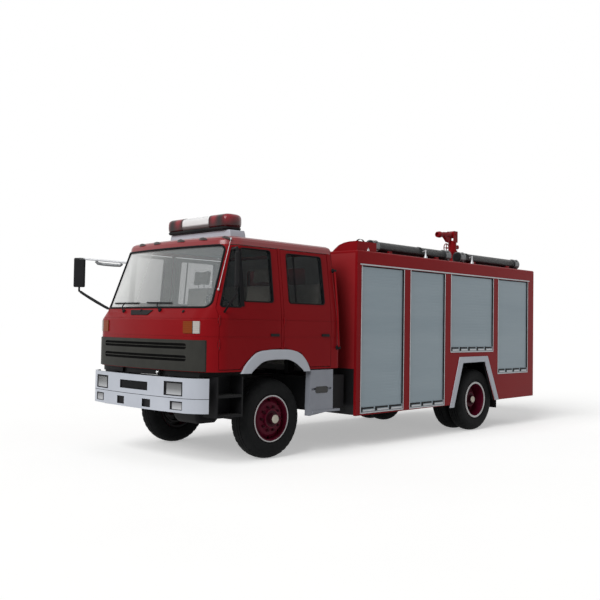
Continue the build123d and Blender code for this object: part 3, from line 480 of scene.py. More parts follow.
def rounded(points, radius, steps=5):
    out = []
    count = len(points)
    for i, p in enumerate(points):
        p = Vector(p)
        a = (Vector(points[i - 1]) - p).normalized()
        b = (Vector(points[(i + 1) % count]) - p).normalized()
        half = a.angle(b) / 2
        back = radius / math.tan(half)
        mid = p + (a + b).normalized() * (radius / math.sin(half))
        start, end = p + a * back - mid, p + b * back - mid
        for k in range(steps + 1):
            t = k / steps
            spot = start * (1 - t) + end * t
            out.append(mid + spot.normalized() * radius)
    return out


def resample(points, step):
    out = []
    for a, b in zip(points, points[1:] + points[:1]):
        count = max(1, int((b - a).length / step))
        out += [a + (b - a) * k / count for k in range(count)]
    return out


def grown(points, out):
    mid = sum(points, Vector((0, 0))) / len(points)
    result = []
    for i, p in enumerate(points):
        ahead = (points[(i + 1) % len(points)] - points[i - 1]).normalized()
        normal = Vector((ahead.y, -ahead.x))
        if normal.dot(p - mid) < 0:
            normal = -normal
        result.append(p + normal * out)
    return result


def cast_tree(name):
    mesh = nodes[name].data
    faces = [list(p.vertices) for p in mesh.polygons]
    return BVHTree.FromPolygons([v.co.copy() for v in mesh.vertices], faces)


def hit(tree, start, ahead):
    return tree.ray_cast(Vector(start), Vector(ahead))[0]


def seen_ahead(tree, y, z):
    return hit(tree, (FX + FAR, y, z), BACKWARD)


# Wheels
# Half of the tyre's section: out from its middle, and radius
TYRE_HALF = [
    (0.097, 0.2875), (0.097, 0.296), (0.118, 0.311), (0.1205, 0.321), (0.1235, 0.323), (0.1238, 0.328),
    (0.123, 0.331), (0.1255, 0.34), (0.1295, 0.385), (0.1285, 0.412), (0.1303, 0.414), (0.1298, 0.419),
    (0.1275, 0.421), (0.1225, 0.446), (0.112, 0.459), (0.098, 0.475), (0.080, 0.483), (0.066, 0.488),
    (0.064, 0.4776), (0.058, 0.4776), (0.056, 0.4905), (0.027, 0.4945), (0.025, 0.484), (0.019, 0.484),
    (0.017, 0.495)]
BEAD = [(-0.09, 0.2875), (0.09, 0.2875)]
TREAD_R = 0.46
TYRE_SIDES = 144
RIM_LIP = {"front": 0.278, "rear": 0.262}
# Hub end, nut seats and radius of the nut ring, from the middle of the wheel or of the twin pair
HUBS = {"front": (0.175, 0.0818, 0.150), "rear": (0.208, 0.0165, 0.158)}
HUB_CAP = [(0.0004, 0.0), (0.0004, 0.052), (0.010, 0.0515), (0.016, 0.047), (0.0185, 0.037), (0.0195, 0.02),
           (0.0198, 0.0)]
WHEEL_NUT = [(0.0, 0.0), (0.0, 0.019), (0.006, 0.019), (0.006, 0.0155), (0.028, 0.0155), (0.031, 0.012),
             (0.031, 0.007), (0.042, 0.007), (0.042, 0.0)]
NUTS = 10
# Brake drum with a back plate behind the hand holes
BRAKE_DRUM = [(-0.06, 0.215), (-0.012, 0.215), (-0.012, 0.256), (-0.004, 0.256), (-0.004, 0.215),
              (0.02, 0.215), (0.03, 0.205), (0.03, 0.13), (0.022, 0.13), (0.022, 0.2), (-0.06, 0.205)]


def tyre(shape, x, y):
    # Road tread: blocks between three grooves, with every fourth step lowered
    profile = TYRE_HALF + [(-d, r) for d, r in reversed(TYRE_HALF)] + BEAD
    rings = []
    for k in range(TYRE_SIDES):
        t = 2 * math.pi * k / TYRE_SIDES
        ring = []
        for d, r in profile:
            if k % 4 == 3 and r > TREAD_R:
                r -= 0.007 if abs(d) > 0.07 else (0.004 if abs(d) > 0.02 else 0.0)
            ring.append(Vector((x + math.sin(t) * r, y + d, HUB_Z + math.cos(t) * r)))
        rings.append(ring)
    shape.loft(rings, loop=True)


def wheel(end, label, side, x, middles, hub_base):
    tail = end + "_" + label
    body = "wheel_" + tail
    out = Vector((0, side, 0))
    centre = (x, middles[0], HUB_Z)
    lip = RIM_LIP[end]
    hub_end, nut_seat, ring_r = HUBS[end]
    shape = Shape()
    for middle in middles:
        tyre(shape, x, middle)
    old = next(n for n in nodes if n.startswith("tyre") and end in n and label in n)
    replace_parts(shape.emit("road_tyre_" + tail, RUBBER, body, "tyre", angle=28), old)
    shape = Shape()
    shape.turned([(0.1103, 0.2912), (0.115, 0.2905), (0.1185, 0.286), (0.1185, lip), (0.115, lip - 0.003),
                  (0.1103, lip - 0.002)], centre, out, 96)
    shape.emit("rim_ring_" + tail, RING, body, "aluminium", angle=50)
    shape = Shape()
    shape.turned([(0.1095, lip - 0.002), (0.110, lip - 0.003), (0.108, 0.2632), (0.062, 0.2612),
                  (0.062, 0.2585), (0.108, 0.2585)], centre, out, 96)
    shape.emit("rim_sleeve_" + tail, MAROON, body, "maroon_paint", angle=50)
    shape = Shape()
    shape.knob(HUB_CAP, (x, hub_base + side * hub_end, HUB_Z), out, 40)
    shape.emit("hub_cap_" + tail, CREAM, body, "white_paint", angle=60)
    shape = Shape()
    for k in range(NUTS):
        t = 2 * math.pi * (k + 0.5) / NUTS
        spot = Vector((x + math.sin(t) * ring_r, hub_base + side * nut_seat, HUB_Z + math.cos(t) * ring_r))
        shape.knob(WHEEL_NUT, spot, out, 6)
    shape.emit("wheel_nuts_" + tail, DEEP_MAROON, body, "cast", angle=30)
    if end == "front":
        shape = Shape()
        shape.turned(BRAKE_DRUM, centre, out, 64)
        shape.emit("brake_drum_" + label, STEEL, body, "cast", angle=40)


for side, label in SIDES:
    wheel("front", label, side, FX, [side * FRONT_WHEEL_Y], side * FRONT_WHEEL_Y)
    wheel("rear", label, side, RX, [side * TWIN_OUTER_Y, side * TWIN_INNER_Y], side * TWIN_MID_Y)

# Window seals. Windscreen and back window in Y and Z, side windows in X and Z from the front axle
SCREEN_LINE = [(-1.05, 1.853), (1.05, 1.853), (0.99, 2.59), (-0.99, 2.59)]
BACK_LINE = [(-0.6, 1.95), (0.6, 1.95), (0.6, 2.45), (-0.6, 2.45)]
# Corner radius and outline of each door pane
PANES = {
    "front": [
        (0.018, [(0.64, 1.862), (0.916, 1.862), (0.69, 2.566), (0.64, 2.566)]),
        (0.03, [(0.112, 1.936), (0.59, 1.936), (0.59, 2.566), (0.112, 2.566)]),
    ],
    "rear": [(0.035, [(-0.168, 1.936), (-0.168, 2.552), (-0.8, 2.552), (-0.815, 1.936)])],
}
# Bars between the panes: X, low end, height, half width, thickness
PANE_BARS = {"front": (0.615, 1.868, 0.695, 0.022, 0.009), "rear": (-0.305, 1.945, 0.598, 0.009, 0.006)}
BAR_STEPS = 8


def seal(shape, tree, line, corner, out, radius, start_of, ahead):
    path = resample(grown(rounded(line, corner, 6), out), 0.04)
    places = [hit(tree, start_of(p), ahead) for p in path]
    shape.tube([p for p in places if p is not None], radius, 8, loop=True)


def ribbon(shape, tree, path, ahead, half, thick):
    ahead = Vector(ahead)
    sunk = ahead * 0.002
    rings = []
    for p in path:
        a = hit(tree, Vector(p) - Vector(half), ahead)
        b = hit(tree, Vector(p) + Vector(half), ahead)
        rings.append([a + sunk, b + sunk, b - ahead * thick, a - ahead * thick])
    shape.loft(rings)


def door_seals(end, label, side):
    door = "door_" + end + "_" + label
    tree = cast_tree(door)
    inward = (0, -side, 0)
    shape = Shape()
    for corner, line in PANES[end]:
        seal(shape, tree, line, corner, 0.004, 0.008, lambda p: (FX + p.x, side * FAR, p.y), inward)
    bar_tree = tree if end == "front" else cast_tree("glass_rear_" + label)
    x, low, tall, half, thick = PANE_BARS[end]
    path = [(FX + x, side * FAR, low + tall * k / BAR_STEPS) for k in range(BAR_STEPS + 1)]
    ribbon(shape, bar_tree, path, inward, (half, 0, 0), thick)
    shape.emit("seals_" + door, SEAL, "cab_" + door, "black_steel")


front_tree = cast_tree("cab_front")
shape = Shape()
seal(shape, front_tree, SCREEN_LINE, 0.07, 0.007, 0.013, lambda p: (FX + FAR, p.x, p.y), BACKWARD)
seal(shape, cast_tree("cab_back"), BACK_LINE, 0.05, 0.007, 0.011, lambda p: (FX - FAR, p.x, p.y), FORWARD)
shape.emit("cab_seals", SEAL, "cab", "black_steel")
for side, label in SIDES:
    for end in ("front", "rear"):
        door_seals(end, label, side)

# Wipers in Y and Z: spindle, blade start, blade end
WIPERS = [((-0.498, 1.799), (-0.86, 1.905), (-0.235, 1.902)), ((0.282, 1.809), (-0.06, 1.906), (0.44, 1.897))]
WASHERS = [(-0.109, 1.81), (0.708, 1.797)]
HAND_HOLD = [(-0.34, 1.812), (0.14, 1.812), (0.08, 1.752), (-0.28, 1.752)]
# Way out of the cab front under the windscreen
NOSE_OUT = (0.78, 0, 0.62)
SPINDLE = [(0.0, 0.0), (0.0, 0.024), (0.018, 0.022), (0.026, 0.016), (0.034, 0.0)]
WASHER = [(0.0, 0.0), (0.0, 0.02), (0.01, 0.018), (0.016, 0.0)]


def wipers():
    screen_tree = cast_tree("cab_glass")
    shape = Shape()
    for spindle, start, end in WIPERS:
        foot = seen_ahead(front_tree, *spindle)
        a, b = Vector(start), Vector(end)
        blade = [seen_ahead(screen_tree, *(a + (b - a) * k / 10)) for k in range(11)]
        blade = [p + Vector((0.012, 0, 0.004)) for p in blade if p is not None]
        shape.tube(blade, 0.009, 8)
        middle = blade[len(blade) // 2] + Vector((0.018, 0, 0.006))
        bend = foot * 0.6 + middle * 0.4 + Vector((0.035, 0, 0.02))
        shape.tube([foot + Vector((0.03, 0, 0.022)), bend, middle], 0.0075, 8)
        shape.knob(SPINDLE, foot, NOSE_OUT, 20)
    for y, z in WASHERS:
        shape.knob(WASHER, seen_ahead(front_tree, y, z), NOSE_OUT, 20)
    hold = [seen_ahead(front_tree, y, z) for y, z in HAND_HOLD]
    shape.slab([p + Vector((0.001, 0, 0.001)) for p in hold], Vector(NOSE_OUT) * 0.008)
    shape.emit("wipers", BLACK, "cab", "black_steel", bevel=0.0015)


# Marker lamps along the front edge of the roof. Rings of a lamp: half length, half width, height
MARKER_RINGS = [(0.072, 0.016, -0.004), (0.070, 0.034, 0.010), (0.056, 0.028, 0.021), (0.026, 0.014, 0.024)]
MARKERS_Y = [-0.62, -0.26, 0.24, 0.64, 0.985]
MARKER_Z = 2.672
MARKER_SIDES = 24


def marker_lamps():
    shape = Shape()
    roof_tree = cast_tree("cab_roof")
    for y in MARKERS_Y:
        turn = Matrix.Translation(seen_ahead(roof_tree, y, MARKER_Z))
        turn = turn @ Matrix.Rotation(math.radians(-38), 4, "Y")
        # The lamp on the corner follows it round
        turn = turn @ Matrix.Rotation(0.35 * y if y > 0.9 else 0, 4, "Z")
        rows = []
        for half, wide, high in MARKER_RINGS:
            angles = [2 * math.pi * k / MARKER_SIDES for k in range(MARKER_SIDES)]
            rows.append([turn @ Vector((wide * math.cos(t), half * math.sin(t), high)) for t in angles])
        shape.loft(rows)
    shape.emit("marker_lamps", DARK_LENS, "cab", "lamp", angle=60)


# Whip aerial on the left pillar
def aerial():
    out = Vector((0.62, 0.72, 0.3))
    lift = out * 0.03
    low, high = Vector((FX + 0.902, 1.069, 2.053)) + lift, Vector((FX + 0.687, 1.026, 2.665)) + lift
    shape = Shape()
    shape.tube([low, low * 0.5 + high * 0.5 + lift * 0.2, high], 0.0032, 8)
    for spot in (low, high):
        shape.knob([(-0.03, 0.0), (-0.03, 0.012), (0.008, 0.010), (0.012, 0.0)], spot, out, 12)
    shape.emit("aerial", SILVER, "cab", "aluminium")


# Black valance under the cab nose, open where the frame rails pass, with its lock
VALANCE_SPANS = [(-1.0, -0.452), (-0.348, 0.348), (0.452, 1.0)]
VALANCE_LOW, VALANCE_TOP = 1.036, 1.0995
VALANCE_BACK = 0.034
NOSE_LOW_Z = 1.12
LOCK = [(0.0, 0.0), (0.0, 0.022), (0.012, 0.022), (0.018, 0.016), (0.018, 0.008), (0.012, 0.006),
        (0.012, 0.0)]
LOCK_Y, LOCK_Z = 0.31, 1.07


def valance():
    shape = Shape()
    for start, stop in VALANCE_SPANS:
        rings = []
        for k in range(13):
            y = start + (stop - start) * k / 12
            x = seen_ahead(front_tree, y, NOSE_LOW_Z).x - VALANCE_BACK
            rings.append(spots((x - 0.01, y, VALANCE_LOW), (x, y, VALANCE_LOW), (x, y, VALANCE_TOP),
                               (x - 0.01, y, VALANCE_TOP)))
        shape.loft(rings)
    shape.emit("valance", BLACK, "cab", "black_steel")
    shape = Shape()
    face_x = seen_ahead(front_tree, LOCK_Y, NOSE_LOW_Z).x - VALANCE_BACK
    shape.knob(LOCK, (face_x, LOCK_Y, LOCK_Z), FORWARD, 24)
    shape.emit("valance_lock", CHROME, "cab", "aluminium")


# Grab rails behind the rear doors
GRAB_FOOT = [(-0.038, 0.0), (-0.038, 0.03), (-0.026, 0.028), (-0.02, 0.016), (0.016, 0.016), (0.02, 0.0)]


def grab_rail(side, label):
    top, foot = Vector((FX - 1.03, side * 1.152, 2.39)), Vector((FX - 1.052, side * 1.226, 1.37))
    bow = top * 0.5 + foot * 0.5 + Vector((0, side * 0.012, 0))
    shape = Shape()
    shape.tube([top + Vector((0, -side * 0.04, 0.0)), top, bow, foot, foot + Vector((0, -side * 0.035, 0))],
               0.012, 10)
    shape.emit("grab_rail_" + label, RED, "cab", "red_paint", angle=60)
    shape = Shape()
    for spot in (top, foot):
        shape.knob(GRAB_FOOT, spot, (0, side, 0), 20)
    shape.emit("grab_brackets_" + label, BLACK, "cab", "black_steel", angle=50)


wipers()
marker_lamps()
aerial()
valance()
for side, label in SIDES:
    grab_rail(side, label)

# Shutter guides, seals, sills and lift bars
LIFT_PITCH = 0.27
GUIDE_LOW = 0.016
SEAL_GAP = 0.0005
SKIN = 0.0003


def shutter_trim(side, label):
    guides, seals, white, dark = Shape(), Shape(), Shape(), Shape()
    y0, y1 = side * (BODY_HALF + SKIN), side * (BODY_HALF + 0.006)
    seal_y = side * (CURTAIN_OUT + SKIN)
    face = CURTAIN_OUT + 0.0083
    bar_y = side * face
    for x0, x1, low in SHUTTERS:
        guides.box(x0, x0 + 0.013, y0, y1, low - GUIDE_LOW, SHUTTER_TOP)
        guides.box(x1 - 0.012, x1, y0, y1, low - GUIDE_LOW, SHUTTER_TOP)
        guides.box(x1, x0, y0, y1, low - GUIDE_LOW, low - 0.001)
        seals.box(x1 + SEAL_GAP, x1 + 0.017, seal_y, side * (BODY_HALF + 0.002), low + 0.072, SHUTTER_TOP)
        seals.box(x1 + SEAL_GAP, x0 - SEAL_GAP, seal_y, side * (BODY_HALF - 0.003), SHUTTER_TOP - 0.014,
                  SHUTTER_TOP - 0.001)
        count = round((x0 - x1) / LIFT_PITCH)
        pitch = (x0 - x1) / count
        for k in range(count):
            a = x1 + pitch * k
            b = a + pitch
            white.box(a + 0.014, b - 0.05, bar_y, side * (face + 0.003), low + 0.012, low + 0.031)
            dark.box(b - 0.044, b - 0.004, bar_y, side * (face + 0.005), low + 0.008, low + 0.068)
            dark.box(a + 0.03, b - 0.03, bar_y, side * (face + 0.004), low + 0.042, low + 0.066)
    guides.box(BODY_REAR + 0.16, BODY_FRONT - 0.06, y0, side * (BODY_HALF + 0.009), SHUTTER_TOP + 0.006,
               SHUTTER_TOP + 0.024)
    guides.emit("shutter_guides_" + label, ALU, "chassis", "aluminium", bevel=0.0012)
    seals.emit("shutter_seals_" + label, SEAL, "chassis", "black_steel", bevel=0.001)
    white.emit("lift_dashes_" + label, SILVER, "chassis", "white_paint", bevel=0.0008)
    dark.emit("lift_grips_" + label, BLACK, "chassis", "black_steel", bevel=0.0008)


# Hose posts with flared feet, and straps over the hoses
HOSE_POST = [(0.0, 0.0), (0.0, 0.032), (0.012, 0.028), (0.04, 0.016), (0.075, 0.010), (0.125, 0.009),
             (0.13, 0.0)]
POSTS_X = [-1.66, -3.03, -4.31]
POST_Y, POST_FOOT_Z = 1.19, 2.7003
STRAP_SECTION = [(-0.018, 0.0785), (0.018, 0.0785), (0.018, 0.0825), (-0.018, 0.0825)]
STRAP_STEPS = 14


def hose_posts():
    posts, straps = Shape(), Shape()
    for side, label in SIDES:
        for x in POSTS_X:
            posts.knob(HOSE_POST, (FX + x, side * POST_Y, POST_FOOT_Z), UPWARD, 20)
            rings = []
            for k in range(STRAP_STEPS + 1):
                t = math.radians(-12 + 204 * k / STRAP_STEPS)
                c, s = math.cos(t), math.sin(t)
                rings.append(spots(*((FX + x + dx, side * (HOSE_Y + c * r), HOSE_Z + s * r)
                                     for dx, r in STRAP_SECTION)))
            straps.loft(rings)
            posts.tube([(FX + x, side * POST_Y, 2.815), (FX + x, side * (HOSE_Y + 0.083), 2.80)], 0.007, 8)
    posts.emit("hose_posts", SILVER, "chassis", "white_paint", angle=50)
    straps.emit("hose_straps", BLACK, "chassis", "black_steel")


# Coupling lugs and end caps of the suction hoses: front end, rear end
HOSE_RUNS = [(BODY_FRONT - 0.475, BODY_FRONT - 2.4), (BODY_FRONT - 2.69, BODY_REAR + 0.33)]
HOSE_CAP = [(0.0005, 0.0), (0.0005, 0.07), (0.012, 0.066), (0.016, 0.05), (0.012, 0.03), (0.012, 0.0)]
COUPLING_BACK = 0.065


def hose_ends():
    lugs, caps = Shape(), Shape()
    for side, label in SIDES:
        for front, rear in HOSE_RUNS:
            for end, way in ((front, 1), (rear, -1)):
                for k in range(4):
                    turn = Matrix.Translation((end - way * COUPLING_BACK, side * HOSE_Y, HOSE_Z))
                    turn = turn @ Matrix.Rotation(math.radians(45 + 90 * k), 4, "X")
                    lugs.box(-0.022, 0.022, -0.016, 0.016, 0.0885, 0.104, turn)
                caps.knob(HOSE_CAP, (end, side * HOSE_Y, HOSE_Z), (way, 0, 0), 32)
    lugs.emit("coupling_lugs", COUPLING, "chassis", "aluminium", bevel=0.004)
    caps.emit("hose_caps", BLACK, "chassis", "black_steel", angle=50)


# Bolts round the monitor base
MONITOR_BOLT = [(0.0, 0.0), (0.0, 0.012), (0.012, 0.012), (0.014, 0.009), (0.014, 0.0)]
BOLT_RING, BOLT_Z = 0.104, 2.7202


def monitor_bolts():
    shape = Shape()
    for k in range(8):
        t = 2 * math.pi * k / 8
        spot = (MONITOR_X + math.cos(t) * BOLT_RING, math.sin(t) * BOLT_RING, BOLT_Z)
        shape.knob(MONITOR_BOLT, spot, UPWARD, 6)
    shape.emit("monitor_bolts", STEEL, "chassis", "cast", angle=30)


# Mud flaps behind the rear wheels
FLAP_IN, FLAP_OUT, FLAP_THICK = 0.63, 1.18, 0.006


def mud_flap(side, label):
    rings = []
    for k in range(9):
        z = 0.95 - 0.62 * k / 8
        x = RX - 0.598 - 0.012 * math.sin(k / 8 * math.pi * 0.7)
        back = x + FLAP_THICK
        rings.append(spots((x, side * FLAP_IN, z), (x, side * FLAP_OUT, z), (back, side * FLAP_OUT, z),
                           (back, side * FLAP_IN, z)))
    shape = Shape()
    shape.loft(rings)
    shape.emit("mud_flap_" + label, SEAL, "chassis", "black_steel")


# Reflectors beside the tail lamps
REFLECTOR = [(0.0003, 0.0), (0.0003, 0.045), (0.008, 0.043), (0.012, 0.0)]


def reflectors():
    shape = Shape()
    for side, label in SIDES:
        shape.knob(REFLECTOR, (BODY_REAR, side * 1.17, 0.78), BACKWARD, 28)
    shape.emit("reflectors", TAIL_RED, "chassis", "lamp", angle=60)


for side, label in SIDES:
    shutter_trim(side, label)
hose_posts()
hose_ends()
monitor_bolts()
for side, label in SIDES:
    mud_flap(side, label)
reflectors()


# Seats: each cushion is swelled by a cloth simulation, then creased along its sewn channels
SIM_FRAMES = 20


def swell(name, rings, voxel, cap):
    shape = Shape()
    shape.loft(rings)
    bmesh.ops.recalc_face_normals(shape.bm, faces=shape.bm.faces)
    mesh = bpy.data.meshes.new(name)
    shape.bm.to_mesh(mesh)
    shape.bm.free()
    obj = bpy.data.objects.new(name, mesh)
    scene = bpy.context.scene
    scene.collection.objects.link(obj)
    remesh = obj.modifiers.new("remesh", "REMESH")
    remesh.mode = "VOXEL"
    remesh.voxel_size = voxel
    deps = bpy.context.evaluated_depsgraph_get()
    fine = bpy.data.meshes.new_from_object(obj.evaluated_get(deps))
    obj.modifiers.clear()
    obj.data = fine
    start = [v.co.copy() for v in fine.vertices]
    cloth = obj.modifiers.new("cloth", "CLOTH")
    cloth.settings.quality = 4
    cloth.settings.use_pressure = True
    cloth.settings.uniform_pressure_force = 4
    cloth.settings.effector_weights.gravity = 0
    cloth.point_cache.frame_start = 1
    cloth.point_cache.frame_end = SIM_FRAMES
    for number in range(1, SIM_FRAMES + 1):
        scene.frame_set(number)
    deps = bpy.context.evaluated_depsgraph_get()
    moved = obj.evaluated_get(deps).to_mesh()
    ends = [v.co.copy() for v in moved.vertices]
    obj.evaluated_get(deps).to_mesh_clear()
    obj.modifiers.clear()
    scene.frame_set(1)
    for vert, a, b in zip(fine.vertices, start, ends):
        step = b - a
        vert.co = a + step * min(1.0, cap / max(step.length, 1e-9))
    return obj


def sewn(obj, seams, depth, width):
    # A seam is an axis and a place on it
    mesh = obj.data
    normals = [n.vector.copy() for n in mesh.vertex_normals]
    for vert, normal in zip(mesh.vertices, normals):
        pull = max(math.exp(-(abs(vert.co[axis] - place) / width) ** 2) for axis, place in seams)
        vert.co -= normal * depth * pull


def inside(obj, low, high):
    for vert in obj.data.vertices:
        vert.co = [min(max(v, a), b) for v, a, b in zip(vert.co, low, high)]


def pad(obj):
    mesh = obj.data
    mesh.materials.clear()
    mesh.materials.append(CLOTH)
    for face in mesh.polygons:
        face.use_smooth = True
    sub = obj.modifiers.new("smooth", "SUBSURF")
    sub.levels = sub.render_levels = 1
    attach(obj, "cab")


def slab_rings(profile, y0, y1, inset):
    # The profile in X and Z from the front axle, drawn in by the inset, and run across from y0 to y1
    section = grown(rounded(profile, 0.025, 4), -inset)
    rows = []
    for k in range(7):
        y = y0 + inset + (y1 - y0 - 2 * inset) * k / 6
        rows.append(spots(*((FX + p.x, y, p.y) for p in section)))
    return rows


def twin(obj, name, shift):
    other = obj.copy()
    other.data = obj.data.copy()
    other.name = name
    bpy.context.scene.collection.objects.link(other)
    for vert in other.data.vertices:
        vert.co.y += shift
    return other


SEAT_BASE = [(-0.18, 1.541), (0.29, 1.541), (0.29, 1.68), (-0.18, 1.68)]
SEAT_BACK = [(-0.18, 1.662), (-0.064, 1.662), (-0.15, 2.178), (-0.25, 2.178)]
SEAT_HEAD = [(-0.235, 2.20), (-0.16, 2.20), (-0.19, 2.40), (-0.262, 2.40)]
SEAT_IN, SEAT_OUT = 0.39, 0.86
SEAT_SEAMS = [(1, 0.475), (1, 0.775)]
BENCH_BASE = [(-1.008, 1.581), (-0.56, 1.581), (-0.56, 1.708), (-1.008, 1.708)]
BENCH_BACK = [(-1.003, 1.69), (-0.89, 1.69), (-0.89, 2.23), (-1.003, 2.23)]
BENCH_HALF, BENCH_EDGE, BENCH_PITCH = 0.338, 0.333, 0.667
BENCH_SEAMS = [(1, -0.24), (1, 0.24)]
BASE_FILL, BACK_FILL, HEAD_FILL = 0.7, 0.65, 0.8


def front_seats():
    base = swell("seat_cushion_left", slab_rings(SEAT_BASE, SEAT_IN, SEAT_OUT, 0.002), 0.013, 0.022)
    sewn(base, SEAT_SEAMS + [(0, FX + 0.06)], 0.010, 0.011)
    inside(base, (FX - 0.178, 0.392, 1.5405), (FX + 0.288, 0.858, 1.70))
    back = swell("seat_back_left", slab_rings(SEAT_BACK, SEAT_IN, SEAT_OUT, 0.0), 0.013, 0.02)
    sewn(back, SEAT_SEAMS + [(2, 1.93)], 0.009, 0.011)
    head = swell("seat_head_left", slab_rings(SEAT_HEAD, 0.48, 0.77, 0.0), 0.012, 0.014)
    sewn(head, [(1, 0.53), (1, 0.72)], 0.006, 0.009)
    for obj, fill in ((base, BASE_FILL), (back, BACK_FILL), (head, HEAD_FILL)):
        other = twin(obj, obj.name.replace("left", "right"), -2 * SEAT_Y)
        pad(obj)
        pad(other)


def rear_bench():
    base = swell("bench_cushion_mid", slab_rings(BENCH_BASE, -BENCH_HALF, BENCH_HALF, 0.0), 0.015, 0.022)
    sewn(base, BENCH_SEAMS + [(0, FX - 0.78)], 0.010, 0.012)
    inside(base, (FX - 1.007, -BENCH_EDGE, 1.5805), (FX - 0.558, BENCH_EDGE, 1.728))
    back = swell("bench_back_mid", slab_rings(BENCH_BACK, -BENCH_HALF, BENCH_HALF, 0.0), 0.015, 0.02)
    sewn(back, BENCH_SEAMS + [(2, 1.97)], 0.009, 0.012)
    inside(back, (FX - 1.003, -BENCH_EDGE, 1.69), (FX - 0.875, BENCH_EDGE, 2.24))
    for obj, fill in ((base, BASE_FILL), (back, BACK_FILL)):
        for side, label in SIDES:
            pad(twin(obj, obj.name.replace("mid", label), side * BENCH_PITCH))
        pad(obj)


# Seat boxes with their slides, headrest posts, back hinges, and the bench with its board
HINGE_PLATE = [(-0.09, 1.512), (-0.165, 1.512), (-0.222, 1.82), (-0.19, 1.82)]
CAB_FLOOR_Z = 1.30


def seat_frames():
    shape = Shape()
    for side, label in SIDES:
        mid = side * SEAT_Y
        y0, y1 = mid - 0.2, mid + 0.2
        shape.box(FX - 0.13, FX + 0.23, y0, y1, CAB_FLOOR_Z, 1.535)
        for y in (y0 + 0.03, y1 - 0.03):
            shape.box(FX - 0.16, FX + 0.27, y - 0.016, y + 0.016, 1.5105, 1.5398)
        for y in (mid - 0.06, mid + 0.06):
            shape.tube([(FX - 0.195, y, 2.165), (FX - 0.2, y, 2.215)], 0.006, 10)
    shape.box(FX - 1.0, FX - 0.66, -0.95, 0.95, CAB_FLOOR_Z, 1.5798)
    shape.box(FX - 1.0095, FX - 1.0035, -0.98, 0.98, 1.56, 2.2)
    for side, label in SIDES:
        for y in (side * SEAT_Y - 0.212, side * SEAT_Y + 0.212):
            shape.slab([(FX + x, y - 0.003, z) for x, z in HINGE_PLATE], (0, 0.006, 0))
    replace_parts(shape.emit("seat_frames", STEEL, "cab", "cast", bevel=0.006), "cab_seats")


front_seats()
rear_bench()
seat_frames()

# Light bar: red end lenses, clear middle over its works, tray, and the plinth under it
BAR_HALF = 0.64
LENS_Y = 0.275
LENS_MID_Z, LENS_TALL, LENS_DEEP = 2.958, 0.101, 0.148
BEACON = [(2.952, 0.0), (2.952, 0.034), (2.975, 0.03), (2.985, 0.012), (2.985, 0.0)]
TRAY_X, TRAY_Y = 0.146, 0.632
# Scale and height of each ring of the tray, inset and height of each ring of the plinth
TRAY_RINGS = [(0.86, 2.846), (0.95, 2.852), (0.975, 2.862), (0.975, 2.880), (0.96, 2.886)]
PLINTH_RINGS = [(0.0, 2.7215), (0.012, 2.80), (0.03, 2.8455)]


def squared(value, power):
    return math.copysign(abs(value) ** power, value)


def lens_ring(y, deep, low, top):
    mid, tall = (low + top) / 2, (top - low) / 2
    angles = [2 * math.pi * k / 40 for k in range(40)]
    return spots(*((BAR_X + deep * squared(math.cos(t), 0.55), y, mid + tall * squared(math.sin(t), 0.62))
                   for t in angles))


def light_bar():
    red = Shape()
    for side, label in SIDES:
        rings = []
        for k in range(13):
            t = k / 12
            y = LENS_Y + (BAR_HALF - LENS_Y) * t
            draw = 1.0 if t < 0.7 else math.sqrt(max(0.0, 1 - ((t - 0.7) / 0.3) ** 2.4)) * 0.75 + 0.25
            tall = LENS_TALL * (0.35 + 0.65 * draw)
            rings.append(lens_ring(side * y, LENS_DEEP * draw, LENS_MID_Z - tall, LENS_MID_Z + tall))
        red.loft(rings)
    red.emit("bar_lenses", DOME, "cab", "lamp", angle=60)
    clear = Shape()
    clear.loft([lens_ring(LENS_Y * k / 4, 0.144, 2.862, 3.055) for k in range(-4, 5)])
    clear.emit("bar_clear_lens", CLEAR, "cab", "lamp", angle=60)
    inner = Shape()
    inner.box(BAR_X - 0.12, BAR_X + 0.12, -0.27, 0.27, 2.872, 2.94)
    for y in (-0.14, 0.0, 0.14):
        inner.knob(BEACON, (BAR_X, y, 0), UPWARD, 20)
    inner.emit("bar_works", STEEL, "cab", "cast", bevel=0.006)
    tray = Shape()
    outline = rounded([(-TRAY_X, -TRAY_Y), (TRAY_X, -TRAY_Y), (TRAY_X, TRAY_Y), (-TRAY_X, TRAY_Y)], 0.07, 8)
    tray.loft([spots(*((BAR_X + p.x * s, p.y * s, z) for p in outline)) for s, z in TRAY_RINGS])
    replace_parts(tray.emit("bar_tray", BLACK, "cab", "black_steel", bevel=0.002), "light_bar")
    plinth = Shape()
    rear, front = BAR_X - 0.13, BAR_X + 0.10
    plinth.loft([spots((rear, -0.69 + w, z), (front, -0.60 + w, z), (front, 0.66 - w, z), (rear, 0.69 - w, z))
                 for w, z in PLINTH_RINGS])
    plinth.emit("bar_plinth", WHITE, "cab", "white_paint", bevel=0.008)


light_bar()

# Front wheel arches as one smooth rolled band, in X and Z from the front axle
ARCH_OUT = [(0.643, 1.075), (0.560, 1.190), (0.393, 1.317), (0.200, 1.350), (-0.008, 1.355), (-0.200, 1.345),
            (-0.362, 1.297), (-0.480, 1.190), (-0.545, 1.075)]
ARCH_IN = [(0.475, 1.075), (0.440, 1.110), (0.300, 1.202), (0.150, 1.230), (-0.020, 1.233), (-0.160, 1.225),
           (-0.290, 1.175), (-0.395, 1.105), (-0.425, 1.075)]
ARCH_STEPS = 72
# Section of the band: share of its width, rise from the cab side
ARCH_SECTION = [(0.0, 0.0003), (0.0, 0.011), (0.06, 0.0155), (0.2, 0.0165), (0.8, 0.015), (0.95, 0.013),
                (1.0, 0.008), (1.0, 0.0003)]


